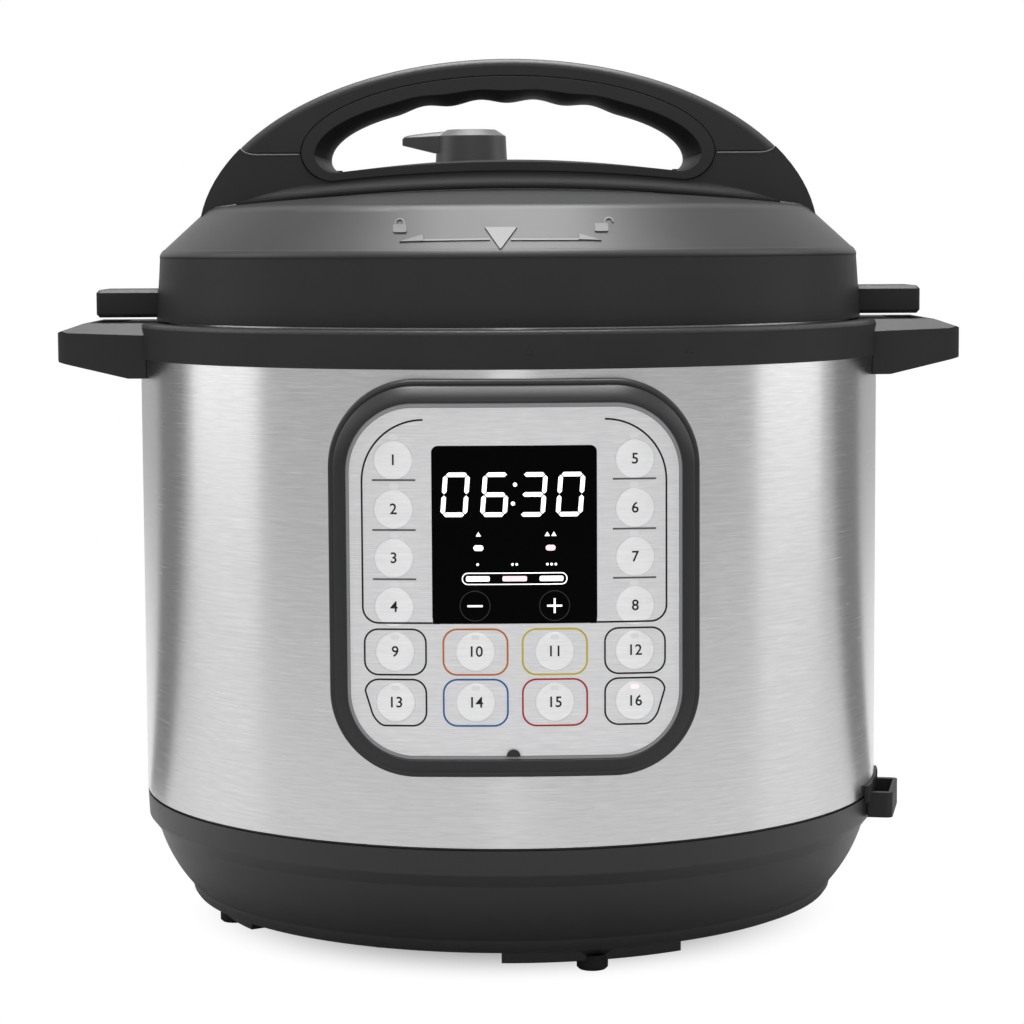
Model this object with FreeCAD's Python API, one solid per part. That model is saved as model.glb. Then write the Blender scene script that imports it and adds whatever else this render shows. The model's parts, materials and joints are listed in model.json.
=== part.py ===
import FreeCAD, Part
import math
import os

# Electric pressure cooker, millimetres, +Z up. The vertical axis of the body is the Z axis,
# the feet stand on z = 0 and the control panel faces -Y.

# Steel housing
housing_radius = 138.0
housing_thickness = 0.8
housing_bottom = 49.6
housing_top = 210.9

# Base bowl
ring_bottom = 40.0
step_radius = 134.0
step_height = 35.4
belly_radius = 129.2
belly_height = 24.0
belly_inner_radius = 125.4
skirt_radius = 121.3
skirt_top = 14.0
skirt_foot = 7.0
skirt_bend_radius = 120.2
skirt_bend_height = 4.5
skirt_lip_outer = 117.8
skirt_lip_inner = 115.0
skirt_lip_under = 3.4
floor_under = 5.5
floor_radius = 114.0
bowl_wall = 2.8
bowl_hole_radius = 90.0
base_plate_radius = 96.0
base_plate_thickness = 1.0
boss_top = 18.0
boss_radius = 4.5
vent_slot_length = 26.0
vent_slot_width = 3.0
vent_slot_pitch = 9.0
vent_slot_rows = 5
vent_slot_x = 45.0

# Screws and their holes
screw_radius = 1.6
screw_hole_play = 0.4
screw_play = 0.05
base_screw_head_radius = 3.2
base_screw_head_height = 1.8
base_screw_length = 11.0
lid_screw_head_radius = 3.4
lid_screw_head_height = 2.0
lid_screw_length = 12.0
lid_screw_count = 6
lid_screw_ring_radius = 96.0
handle_screw_x = 89.0
handle_screw_radius = 1.5
handle_screw_head_radius = 3.0
handle_screw_head_height = 2.2
handle_screw_length = 10.0

# Feet
foot_count = 4
foot_ring_radius = 107.5
foot_radius = 5.5
foot_chamfer = 0.8
first_foot_angle = -75.5
pad_half_angle = 17.0
pad_inner_radius = 98.5
pad_outer_radius = 112.0
pad_under = 2.2

# Upper rim and side handles
rim_radius = 138.6
rim_top = 224.0
side_handle_reach = 168.5
side_handle_half_width = 38.0
side_handle_root_under = 204.0
side_handle_tip_under = 211.0
side_handle_edge = 219.5
side_handle_root = 127.0
side_handle_corner = 4.0
side_handle_slot_inner = 143.6
side_handle_slot_outer = 155.2
side_handle_slot_half_length = 20.0
side_handle_slot_corner = 3.0
moat_floor = 213.5
moat_outer_radius = 130.4
moat_inner_radius = 119.0
spout_half_width = 7.0
spout_bottom = 206.6
spout_reach = 149.0
spout_wall = 1.5

# Pots and heater
inner_pot_radius = 111.8
inner_pot_wall = 0.8
inner_pot_bottom = 69.0
inner_pot_top = 228.6
outer_pot_inner_radius = 113.2
outer_pot_wall = 1.2
outer_pot_floor = 57.0
heater_radius = 95.0
heater_under = 60.5
heating_tube_ring_radius = 66.0
heating_tube_radius = 4.5
heater_foot_count = 3
heater_foot_radius = 5.0
heater_terminal_x = 8.0
heater_terminal_y = 36.0
heater_terminal_radius = 2.4
heater_terminal_end = 46.0

# Temperature sensor
sensor_hole_radius = 17.0
sensor_cap_radius = 15.4
sensor_cap_under = 62.4
sensor_stem_radius = 7.6
sensor_stem_end = 46.0
sensor_strap_under = 50.4
sensor_strap_top = 51.6
sensor_strap_half_length = 26.0
sensor_strap_half_width = 9.5
sensor_strap_eye = 14.5
spring_radius = 11.0
spring_wire = 1.2
spring_turns = 3

# Pressure switch under the liner
pressure_switch_far = -62.0
pressure_switch_near = -40.0
pressure_switch_half_width = 6.0
pressure_switch_under = 36.0
pressure_switch_top = 50.0
switch_lever_end = -38.0
switch_lever_half_width = 3.0
switch_lever_under = 51.2
switch_lever_thickness = 1.0
switch_hinge_length = 3.0
switch_plunger_x = -48.0
switch_plunger_radius = 1.6

# Supply board: box parts as left, right, front, back and top, round parts as x, y, radius and top
supply_board_left = 8.0
supply_board_right = 82.0
supply_board_half_depth = 32.0
supply_board_under = 16.0
supply_boxes = ((16, 46, -26, 4, 42), (52, 72, -26, -12, 34))
supply_cans = ((62, 16, 8.0, 40), (28, 20, 5.0, 32))
supply_feet_x = (13, 77)
supply_feet_y = (-27, 27)
supply_foot_radius = 3.0

# Locking teeth shared by the outer pot and the lid
tooth_count = 8
tooth_span = 18.0
flange_radius = 121.4
tooth_radius = 125.4
flange_under = 221.0
flange_top = 223.0
lug_inner_radius = 122.2
lug_under = 218.4
lug_top = 220.4

# Lid
lid_bottom = 224.6
lid_radius = 132.0
shoulder_radius = 130.4
shoulder_height = 248.2
facet_top_radius = 114.6
facet_top = 263.6
dome_edge_radius = 109.8
dome_edge = 266.3
dome_top = 272.4
lid_wall = 2.8
fin_reach = 153.3
fin_half_width = 17.0
fin_under = 225.8
fin_top = 236.1
lid_plate_radius = 127.8
lid_plate_top = 248.3
lid_plate_thickness = 1.2

# Sealing ring and its rack
rack_inner = 104.6
rack_outer = 106.0
rack_flange = 110.0
rack_foot = 233.6
rack_thickness = 1.2
ring_inner = 106.5
ring_outer = 120.6
ring_under = 228.95
ring_groove_top = 241.0
ring_groove_inner = 114.6
ring_groove_outer = 117.6

# Lid handle
arch_center = 255.0
arch_half_span = 114.3
arch_rise = 65.5
arch_half_depth_foot = 21.5
arch_foot = 276.0
arch_half_depth_crown = 17.5
arch_crown = 320.0
handle_wall = 3.0
cap_split = 286.0
handle_hollow_end = 104.0
plinth_half_depth = 26.5
plinth_height = 2.0
finger_pitch = 20.8
finger_depth = 1.5
liner_gap = 0.3
liner_half_length = 76.3
liner_end = 285.7
liner_crown = 28.3
liner_foot_half = 63.7
liner_foot = 275.8
liner_floor = 279.2
liner_lip = 3.0
liner_proud = 0.6
passage_half_length = 66.0
passage_end = 283.5
passage_crown = 21.5
passage_foot_half = 61.7
passage_foot = 279.2
passage_floor = 283.8
split_gap = 0.15
plinth_chamfer = 1.6

# Steam release and float
release_x = -13.6
release_y = 55.0
release_radius = 14.7
release_bottom = 272.6
release_top = 297.0
release_shoulder_drop = 2.5
release_draft = 1.1
release_crown_radius = 9.6
release_bore_radius = 5.0
release_bore_top = 286.4
release_hole_radius = 9.0
lever_reach = 27.1
lever_root_under = 287.5
lever_tip_under = 291.0
lever_tip_top = 294.0
lever_root_half_width = 6.0
lever_neck_half_width = 5.5
lever_tip_half_width = 3.8
float_x = 26.0
float_y = 52.0
float_radius = 3.2
float_bottom = 235.0
float_top = 269.6
pipe_bore = 2.0
pipe_radius = 4.5
pipe_bottom = 240.0
pipe_top = 285.6
shield_radius = 13.4
shield_wall = 1.2
shield_bottom = 231.0
shield_slot_count = 8

# Control panel
panel_face_radius = 400.0
panel_front = 143.6
panel_half_width = 62.0
panel_bottom = 74.8
panel_top = 207.9
panel_corner = 29.0
panel_root = 100.0
overlay_half_width = 55.0
overlay_bottom = 82.0
overlay_top = 198.6
overlay_corner = 21.5
overlay_recess = 1.4
overlay_thickness = 1.2
overlay_back = overlay_recess + overlay_thickness
housing_window_inset = 0.3
bezel_pocket_inset = 0.9
board_inset = 1.2
bezel_ledge = 2.2
bezel_edge_radius = 4.6
window_half_width = 27.4
window_bottom = 126.6
window_top = 185.9
key_radius = 6.3
key_rise = 0.4
key_thickness = 2.4
key_gap = 0.3
key_front = overlay_recess - key_rise
key_back = key_front + key_thickness
side_key_x = 40.2
side_key_top = 181.2
side_key_pitch = 16.35
side_key_rows = 4
lower_key_columns = (-40.0, -13.2, 13.2, 40.0)
lower_key_rows = (117.1, 100.0)
window_key_x = 13.25
window_key_z = 132.5
window_key_radius = 5.0
window_keys = {"minus_key": -1, "plus_key": 1}
board_front = 131.0
board_thickness = 1.6
digits_half_width = 25.0
digits_bottom = 160.0
digits_top = 182.0
lamps_half_width = 19.0
lamps_bottom = 139.5
lamps_top = 152.0
switch_half_width = 3.0
switch_height = 3.5
switch_tip_radius = 1.7
switch_gap = 0.9

# Power inlet
inlet_x = 0.0
inlet_z = 25.0
inlet_half_width = 15.0
inlet_half_height = 11.0
inlet_face = 122.5
inlet_back = 100.0
inlet_surround_half_width = 20.0
inlet_surround_under = 11.0
inlet_surround_top = 38.5
inlet_play = 0.1
inlet_pin_end = 2.5
inlet_mouth_half_width = 12.0
inlet_mouth_half_height = 8.2
inlet_mouth_crown_half_width = 7.5
inlet_mouth_shoulder = 4.0
inlet_mouth_floor = 5.0
inlet_pins = ((-7.0, -3.2), (7.0, -3.2), (0.0, 3.4))
inlet_pin_half_thickness = 1.0
inlet_pin_half_height = 2.0
inlet_pin_tail = 6.0

# Condensation collector
collector_half_width = 36.4
collector_front = 141.4
collector_back = 165.0
collector_bottom = 174.0
collector_top = 203.5
collector_wall = 1.8
collector_corner = 6.0
collector_taper = 3.0
collector_play = 0.6
bracket_wall = 3.0
bracket_back = 2.6
bracket_top = 206.0
bracket_drop = 2.0
cheek_root = 128.0
cheek_end = 160.0
groove_rise = 14.0
groove_height = 4.0
groove_root = 142.0
groove_skin = 1.2
rib_end = 159.0
rib_play = 0.4

# Spoon holder socket
socket_angle = -11.5
socket_reach = 146.3
socket_half_width = 16.0
socket_bottom = 40.5
socket_top = 49.8
socket_root = 130.0
socket_corner = 2.5
socket_cheek = 1.5
socket_floor = 1.6
socket_slot_length = 26.0
socket_slot_inner = 138.5
socket_slot_outer = 144.7
socket_cheek_drop = 3.0
socket_cheek_rise = 3.4
socket_cheek_half_angle = 9.0

small = 0.05
far = 400.0

Vector = FreeCAD.Vector
up = Vector(0, 0, 1)
back = Vector(0, 1, 0)
right = Vector(1, 0, 0)
origin = Vector(0, 0, 0)


# Closed outline in the XZ plane: a step is a point, or a pair of points for an arc through the first.
def outline(start, *steps):
    edges = []
    here = Vector(start[0], 0, start[1])
    for step in steps + (start,):
        if isinstance(step[0], tuple):
            middle = Vector(step[0][0], 0, step[0][1])
            there = Vector(step[1][0], 0, step[1][1])
            edges.append(Part.Arc(here, middle, there).toShape())
        else:
            there = Vector(step[0], 0, step[1])
            if there.distanceToPoint(here) < small:
                continue
            edges.append(Part.makeLine(here, there))
        here = there
    return Part.Wire(edges)


def turned(start, *steps):
    return Part.Face(outline(start, *steps)).revolve(origin, up, 360)


def extruded(wire, start_y, end_y):
    face = Part.Face(wire)
    face.translate(Vector(0, start_y, 0))
    return face.extrude(Vector(0, end_y - start_y, 0))


def block(low_x, high_x, low_y, high_y, low_z, high_z):
    return Part.makeBox(high_x - low_x, high_y - low_y, high_z - low_z, Vector(low_x, low_y, low_z))


def post(radius, low_z, high_z, x=0.0, y=0.0):
    return Part.makeCylinder(radius, high_z - low_z, Vector(x, y, low_z), up)


def tube(inner, outer, low_z, high_z):
    return post(outer, low_z, high_z).cut(post(inner, low_z - 1, high_z + 1))


# Ring sector centred on an angle in degrees.
def sector(inner, outer, low_z, high_z, center_angle, half_angle):
    base = Part.makeCylinder(outer, high_z - low_z, Vector(0, 0, low_z), up, 2 * half_angle)
    ring = base.cut(post(inner, low_z - 1, high_z + 1))
    ring.rotate(origin, up, center_angle - half_angle)
    return ring


def on_ring(radius, angle):
    return radius * math.cos(math.radians(angle)), radius * math.sin(math.radians(angle))


def mirrored(shape):
    return shape.mirror(origin, right)


def rounded_rectangle(half_width, low_z, high_z, radius):
    inset = radius * (1 - math.sqrt(0.5))
    left = -half_width
    return outline(
        (left + radius, low_z),
        (half_width - radius, low_z),
        ((half_width - inset, low_z + inset), (half_width, low_z + radius)),
        (half_width, high_z - radius),
        ((half_width - inset, high_z - inset), (half_width - radius, high_z)),
        (left + radius, high_z),
        ((left + inset, high_z - inset), (left, high_z - radius)),
        (left, low_z + radius),
        ((left + inset, low_z + inset), (left + radius, low_z)),
    )


# Base

def foot_places():
    for number in range(foot_count):
        angle = first_foot_angle + number * 360.0 / foot_count
        yield angle, *on_ring(foot_ring_radius, angle)


def base_screw_places():
    radius = (bowl_hole_radius + base_plate_radius) / 2
    for number in range(foot_count):
        yield on_ring(radius, first_foot_angle + 45 + number * 360.0 / foot_count)


def base_bowl():
    inner_ring = housing_radius - housing_thickness - 0.2
    lip_top = housing_bottom + 5.0
    lip_inner = inner_ring - bowl_wall
    floor_over = floor_under + bowl_wall
    bowl = turned(
        (housing_radius, housing_bottom - 0.9),
        (housing_radius - 0.4, ring_bottom),
        (step_radius, step_height),
        ((belly_radius, belly_height), (skirt_radius + 0.6, skirt_top)),
        (skirt_radius, skirt_foot),
        ((skirt_bend_radius, skirt_bend_height), (skirt_lip_outer, skirt_lip_under)),
        (skirt_lip_inner, skirt_lip_under),
        (floor_radius, floor_under),
        (bowl_hole_radius, floor_under),
        (bowl_hole_radius, floor_over),
        (floor_radius - 1, floor_over),
        ((belly_inner_radius, belly_height), (step_radius - bowl_wall, step_height + 0.6)),
        (lip_inner, ring_bottom + 0.8),
        (lip_inner, lip_top),
        (inner_ring, lip_top),
        (inner_ring, housing_bottom - 0.9),
    )
    pad_radii = (pad_inner_radius, pad_outer_radius)
    for angle, x, y in foot_places():
        bowl = bowl.fuse(sector(*pad_radii, pad_under, floor_under + 1, angle, pad_half_angle))
    for x, y in base_screw_places():
        bowl = bowl.fuse(post(boss_radius, floor_under + 1, boss_top, x, y))
    surround = block(
        inlet_x - inlet_surround_half_width, inlet_x + inlet_surround_half_width,
        floor_radius - 2, inlet_face, inlet_surround_under, inlet_surround_top,
    )
    bowl = bowl.fuse(surround)
    for angle, x, y in foot_places():
        bowl = bowl.cut(post(foot_radius + screw_play, -1, floor_under, x, y))
    for x, y in base_screw_places():
        bowl = bowl.cut(post(screw_radius + screw_play, 0, boss_top + 1, x, y))
    hole_half_width = inlet_half_width + inlet_play
    hole_half_height = inlet_half_height + inlet_play
    inlet_hole = block(
        inlet_x - hole_half_width, inlet_x + hole_half_width, inlet_back, far,
        inlet_z - hole_half_height, inlet_z + hole_half_height,
    )
    return bowl.cut(inlet_hole).removeSplitter()


def feet():
    solids = []
    for angle, x, y in foot_places():
        foot = post(foot_radius, 0, floor_under, x, y)
        rim = [edge for edge in foot.Edges if edge.BoundBox.ZMax < small]
        solids.append(foot.makeChamfer(foot_chamfer, rim))
    return Part.makeCompound(solids)


def base_plate():
    top = floor_under - 0.02
    plate = post(base_plate_radius, top - base_plate_thickness, top)
    for x, y in base_screw_places():
        plate = plate.cut(post(screw_radius + screw_hole_play, 0, top + 1, x, y))
    half_length = vent_slot_length / 2
    half_width = vent_slot_width / 2
    for row in range(vent_slot_rows):
        y = (row - (vent_slot_rows - 1) / 2) * vent_slot_pitch
        for x in (-vent_slot_x, vent_slot_x):
            slot = block(x - half_length, x + half_length, y - half_width, y + half_width, 0, top + 1)
            plate = plate.cut(slot)
    return plate


def screw(radius, head_radius, head_height, length, x, y, head_under):
    head = post(head_radius, head_under, head_under + head_height, x, y)
    shank = post(radius, head_under + head_height - small, head_under + head_height + length, x, y)
    return head.fuse(shank).removeSplitter()


def base_screws():
    head_under = floor_under - 0.02 - base_plate_thickness - base_screw_head_height
    solids = []
    for x, y in base_screw_places():
        head = (base_screw_head_radius, base_screw_head_height)
        solids.append(screw(screw_radius, *head, base_screw_length, x, y, head_under))
    return Part.makeCompound(solids)


def spoon_holder_socket():
    body = block(socket_root, socket_reach, -socket_half_width, socket_half_width, socket_bottom, socket_top)
    height = socket_top - socket_bottom
    uprights = [edge for edge in body.Edges if abs(edge.Length - height) < small]
    corners = [edge for edge in uprights if edge.CenterOfMass.x > socket_root + 1]
    body = body.makeFillet(socket_corner, corners)
    cheek = sector(
        socket_root, housing_radius + socket_cheek, socket_top - socket_cheek_drop,
        socket_top + socket_cheek_rise, 0, socket_cheek_half_angle,
    )
    body = body.fuse(cheek).cut(post(housing_radius + small, 0, far))
    half_length = socket_slot_length / 2
    floor = socket_bottom + socket_floor
    slot = block(socket_slot_inner, socket_slot_outer, -half_length, half_length, floor, far)
    socket = body.cut(slot).removeSplitter()
    socket.rotate(origin, up, socket_angle)
    return socket


# Housing and rim

def steel_housing():
    shell = tube(housing_radius - housing_thickness, housing_radius, housing_bottom, housing_top)
    window = extruded(inside_overlay(housing_window_inset), -far, 0)
    notch_half_width = spout_half_width + key_gap
    spout_notch = block(-notch_half_width, notch_half_width, 0, far, spout_bottom - key_gap, far)
    return shell.cut(window).cut(spout_notch)


def side_handle():
    wide = side_handle_half_width
    tip = side_handle_half_width - 2.0
    straight_end = math.sqrt(side_handle_reach**2 - tip**2) - side_handle_corner
    bend_x = straight_end + side_handle_corner - 0.9
    bow_x = straight_end + side_handle_corner + 0.8
    bow = tip - side_handle_corner
    plan = outline(
        (side_handle_root, -wide),
        (straight_end, -tip),
        ((bend_x, -tip + 1.2), (bow_x, -bow)),
        ((side_handle_reach, 0), (bow_x, bow)),
        ((bend_x, tip - 1.2), (straight_end, tip)),
        (side_handle_root, wide),
    )
    solid = extruded(plan, -rim_top, -housing_top + 20)
    solid.rotate(origin, right, -90)
    side_profile = outline(
        (side_handle_root, side_handle_root_under),
        (rim_radius + 1, side_handle_root_under),
        (side_handle_reach + 1, side_handle_tip_under),
        (side_handle_reach + 1, side_handle_edge),
        (side_handle_reach - 12, rim_top),
        (side_handle_root, rim_top),
    )
    solid = solid.common(extruded(side_profile, -2 * wide, 2 * wide))
    top_half_width = wide - 8.0
    front_profile = outline(
        (-wide, side_handle_root_under), (wide, side_handle_root_under), (wide, side_handle_edge),
        (top_half_width, rim_top + small), (-top_half_width, rim_top + small), (-wide, side_handle_edge),
    )
    wedge = extruded(front_profile, -far, 0)
    wedge.rotate(origin, up, 90)
    solid = solid.common(wedge)
    slot_half = side_handle_slot_half_length
    slot = block(side_handle_slot_inner, side_handle_slot_outer, -slot_half, slot_half, 0, far)
    slot_corners = [edge for edge in slot.Edges if edge.Length > far - small]
    return solid.cut(slot.makeFillet(side_handle_slot_corner, slot_corners))


def upper_rim():
    inside = housing_radius - housing_thickness - 0.2
    ring = turned(
        (rim_radius, housing_top + small),
        (rim_radius, rim_top - 1.6),
        ((rim_radius - 0.5, rim_top - 0.4), (rim_radius - 1.7, rim_top)),
        (moat_outer_radius + 0.8, rim_top),
        (moat_outer_radius, rim_top - 0.8),
        (moat_outer_radius, moat_floor),
        (moat_inner_radius, moat_floor),
        (moat_inner_radius, flange_under),
        (outer_pot_inner_radius + outer_pot_wall + 0.2, flange_under),
        (outer_pot_inner_radius + outer_pot_wall + 0.2, moat_floor - 2.4),
        (moat_outer_radius + 1.0, moat_floor - 2.4),
        (inside - 2.6, housing_top - 8),
        (inside, housing_top - 8),
        (inside, housing_top + small),
    )
    handle = side_handle().cut(post(housing_radius + small, 0, housing_top + small))
    handle = handle.cut(post(moat_outer_radius + 2, 0, far))
    spout = block(-spout_half_width, spout_half_width, 128, spout_reach, spout_bottom, moat_floor)
    ring = ring.fuse(handle).fuse(mirrored(handle)).fuse(spout)
    half_bore = spout_half_width - spout_wall
    bore_end = spout_reach - spout_wall
    cover = moat_floor - 1.2
    drain = moat_outer_radius - 6
    channel = block(-half_bore, half_bore, drain, bore_end, spout_bottom + spout_wall, cover)
    drip = block(-half_bore, half_bore, bore_end - 4.5, bore_end, housing_top - 10, cover)
    mouth = block(-half_bore, half_bore, drain, moat_outer_radius - 1, cover - 1, moat_floor + 1)
    return ring.cut(channel).cut(drip).cut(mouth).removeSplitter()


# Pots and heater

def tooth_angles(first):
    for number in range(tooth_count):
        yield first + number * 360.0 / tooth_count


def outer_pot():
    outer_radius = outer_pot_inner_radius + outer_pot_wall
    pot = turned(
        (flange_radius, flange_under),
        (flange_radius, flange_top),
        (outer_pot_inner_radius, flange_top),
        (outer_pot_inner_radius, outer_pot_floor + outer_pot_wall),
        (40.0, outer_pot_floor + outer_pot_wall),
        (40.0, outer_pot_floor),
        (outer_radius, outer_pot_floor),
        (outer_radius, flange_under),
    )
    root = flange_radius - 2
    for angle in tooth_angles(0.0):
        pot = pot.fuse(sector(root, tooth_radius, flange_under, flange_top, angle, tooth_span / 2))
    return pot.removeSplitter()


def inner_pot():
    inside = inner_pot_radius - inner_pot_wall
    floor = inner_pot_bottom + 3.0
    bend = 10.0
    cut_in = bend * (1 - math.sqrt(0.5))
    lip = 119.4
    return turned(
        (0, inner_pot_bottom),
        (inner_pot_radius - bend, inner_pot_bottom),
        ((inner_pot_radius - cut_in, inner_pot_bottom + cut_in), (inner_pot_radius, inner_pot_bottom + bend)),
        (inner_pot_radius, inner_pot_top - 3.2),
        (inner_pot_radius + 1.8, inner_pot_top - 1.4),
        (lip - 0.4, inner_pot_top - 1.4),
        (lip, inner_pot_top - 0.7),
        (lip - 0.4, inner_pot_top),
        (inside + 2.2, inner_pot_top),
        (inside + 0.6, inner_pot_top - 0.8),
        (inside, inner_pot_top - 2.6),
        (inside, floor + bend - 2),
        ((inside - 2.4, floor + 2.4), (inside - bend + 2, floor)),
        (0, floor),
    )


def heating_plate():
    plate = turned(
        (sensor_hole_radius, heater_under),
        (heater_radius - 6, heater_under),
        (heater_radius, heater_under + 3),
        (heater_radius, inner_pot_bottom - 1.0),
        (heater_radius - 4, inner_pot_bottom),
        (sensor_hole_radius, inner_pot_bottom),
    )
    tube_center = heater_under + 2.8
    center = Vector(0, 0, tube_center)
    plate = plate.fuse(Part.makeTorus(heating_tube_ring_radius, heating_tube_radius, center))
    floor = outer_pot_floor + outer_pot_wall
    for number in range(heater_foot_count):
        x, y = on_ring(heater_radius - 9, 30 + number * 360.0 / heater_foot_count)
        plate = plate.fuse(post(heater_foot_radius, floor, tube_center, x, y))
    for x in (-heater_terminal_x, heater_terminal_x):
        terminal = post(heater_terminal_radius, heater_terminal_end, tube_center, x, heater_terminal_y)
        plate = plate.fuse(terminal)
    return plate.removeSplitter()


def sensor_button():
    top = inner_pot_bottom - 0.3
    return turned(
        (0, sensor_stem_end), (sensor_stem_radius, sensor_stem_end), (sensor_stem_radius, sensor_cap_under),
        (sensor_cap_radius, sensor_cap_under), (sensor_cap_radius, top - 1.5), (sensor_cap_radius - 1.5, top),
        (0, top),
    )


# Spring of square wire between the strap and the sensor's cap.
def sensor_spring():
    half_wire = spring_wire / 2
    low = sensor_strap_top + half_wire
    pitch = (sensor_cap_under - half_wire - low) / spring_turns
    path = Part.makeHelix(pitch, pitch * spring_turns, spring_radius)
    path.translate(Vector(0, 0, low))
    section = outline(
        (spring_radius - half_wire, low - half_wire), (spring_radius + half_wire, low - half_wire),
        (spring_radius + half_wire, low + half_wire), (spring_radius - half_wire, low + half_wire),
    )
    return Part.Wire(path.Edges).makePipeShell([section], True, True)


def sensor_bracket():
    end = sensor_strap_half_length
    side = sensor_strap_half_width
    strap = block(-end, end, -side, side, sensor_strap_under, sensor_strap_top)
    strap = strap.fuse(post(sensor_strap_eye, sensor_strap_under, sensor_strap_top))
    leg = block(end - 1.2, end, -side, side, sensor_strap_under, heater_under)
    strap = strap.fuse(leg).fuse(mirrored(leg))
    return strap.cut(post(sensor_stem_radius + 0.8, 0, far)).removeSplitter()


def pressure_switch():
    half = pressure_switch_half_width
    body = block(
        pressure_switch_far, pressure_switch_near, -half, half, pressure_switch_under, pressure_switch_top,
    )
    half_lever = switch_lever_half_width
    lever_top = switch_lever_under + switch_lever_thickness
    lever = block(
        pressure_switch_far, switch_lever_end, -half_lever, half_lever, switch_lever_under, lever_top,
    )
    hinge_end = pressure_switch_far + switch_hinge_length
    hinge = block(pressure_switch_far, hinge_end, -half_lever, half_lever, pressure_switch_top - 1, lever_top)
    foot = block(
        pressure_switch_far + 2, pressure_switch_near - 2, -half, half, floor_under, pressure_switch_under + 0.5,
    )
    plunger = post(
        switch_plunger_radius, pressure_switch_top - 0.5, switch_lever_under, switch_plunger_x, 0,
    )
    return body.fuse([lever, hinge, foot, plunger]).removeSplitter()


def power_board():
    half = supply_board_half_depth
    seat = supply_board_under + 1
    board = block(
        supply_board_left, supply_board_right, -half, half,
        supply_board_under, supply_board_under + board_thickness,
    )
    pieces = []
    for low_x, high_x, low_y, high_y, top in supply_boxes:
        pieces.append(block(low_x, high_x, low_y, high_y, seat, top))
    for x, y, radius, top in supply_cans:
        pieces.append(post(radius, seat, top, x, y))
    for x in supply_feet_x:
        for y in supply_feet_y:
            pieces.append(post(supply_foot_radius, floor_under, seat, x, y))
    return board.fuse(pieces).removeSplitter()


def power_inlet():
    body = block(
        inlet_x - inlet_half_width, inlet_x + inlet_half_width, inlet_back, inlet_face,
        inlet_z - inlet_half_height, inlet_z + inlet_half_height,
    )
    mouth_left = inlet_x - inlet_mouth_half_width
    mouth_right = inlet_x + inlet_mouth_half_width
    mouth_under = inlet_z - inlet_mouth_half_height
    mouth_top = inlet_z + inlet_mouth_half_height
    mouth_shoulder = inlet_z + inlet_mouth_shoulder
    mouth_wire = outline(
        (mouth_left, mouth_under), (mouth_right, mouth_under), (mouth_right, mouth_shoulder),
        (inlet_x + inlet_mouth_crown_half_width, mouth_top),
        (inlet_x - inlet_mouth_crown_half_width, mouth_top),
        (mouth_left, mouth_shoulder),
    )
    body = body.cut(extruded(mouth_wire, inlet_back + inlet_mouth_floor, far))
    for shift_x, shift_z in inlet_pins:
        x = inlet_x + shift_x
        z = inlet_z + shift_z
        pin = block(
            x - inlet_pin_half_thickness, x + inlet_pin_half_thickness,
            inlet_back - inlet_pin_tail, inlet_face - inlet_pin_end,
            z - inlet_pin_half_height, z + inlet_pin_half_height,
        )
        body = body.fuse(pin)
    return body.removeSplitter()


# Condensation collector at the back

def collector_bracket():
    outer = collector_half_width + collector_play + bracket_wall
    under = collector_bottom - bracket_drop
    wall = tube(housing_radius + small, housing_radius + bracket_back, under, bracket_top)
    bracket = wall.common(block(-outer, outer, 0, far, 0, far))
    groove_low = collector_bottom + groove_rise
    groove = block(
        outer - bracket_wall, outer - groove_skin, groove_root, far, groove_low, groove_low + groove_height,
    )
    cheek = block(outer - bracket_wall, outer, cheek_root, cheek_end, under, bracket_top)
    cheek = cheek.cut(post(housing_radius + small, 0, far)).cut(groove)
    notch = block(-spout_half_width - 0.4, spout_half_width + 0.4, 0, far, collector_top, far)
    return bracket.fuse(cheek).fuse(mirrored(cheek)).cut(notch).removeSplitter()


def condensation_collector():
    floor_half = collector_half_width - collector_taper
    section = outline(
        (-floor_half, collector_bottom), (floor_half, collector_bottom),
        (collector_half_width, collector_top), (-collector_half_width, collector_top),
    )
    cup = extruded(section, collector_front, collector_back)
    outer_edges = [edge for edge in cup.Edges if edge.CenterOfMass.y > collector_back - small]
    uprights = [edge for edge in outer_edges if edge.BoundBox.ZLength > collector_taper]
    cup = cup.makeFillet(collector_corner, uprights)
    inside = outline(
        (-floor_half + collector_wall, collector_bottom + collector_wall),
        (floor_half - collector_wall, collector_bottom + collector_wall),
        (collector_half_width - collector_wall, collector_top + 1),
        (-collector_half_width + collector_wall, collector_top + 1),
    )
    hollow = extruded(inside, collector_front + collector_wall, collector_back - collector_wall)
    cup = cup.cut(hollow)
    rib_low = collector_bottom + groove_rise + rib_play
    rib_high = collector_bottom + groove_rise + groove_height - rib_play
    rib_reach = collector_half_width + collector_play + bracket_wall - groove_skin - rib_play
    rib_root = collector_half_width - collector_taper + rib_play
    rib = block(rib_root, rib_reach, collector_front + 1, rib_end, rib_low, rib_high)
    return cup.fuse(rib).fuse(mirrored(rib)).removeSplitter()


# Control panel

# Solid behind the gently curved panel face, at a depth measured back from the bezel's front.
def behind_face(depth):
    center_y = panel_face_radius - panel_front
    return Part.makeCylinder(panel_face_radius - depth, 300, Vector(0, center_y, 0), up)


def face_y(x, depth):
    reach = panel_face_radius - depth
    return panel_face_radius - panel_front - math.sqrt(reach**2 - x**2)


# Curved sheet with round holes.
def face_sheet(prism, holes, front_depth, back_depth):
    prism = prism.cut([key_bore(x, z, radius + key_gap) for x, z, radius in holes])
    return prism.common(behind_face(front_depth)).cut(behind_face(back_depth))


# The overlay's outline drawn in by an even amount.
def inside_overlay(inset):
    return rounded_rectangle(
        overlay_half_width - inset, overlay_bottom + inset, overlay_top - inset, overlay_corner - inset
    )


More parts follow.
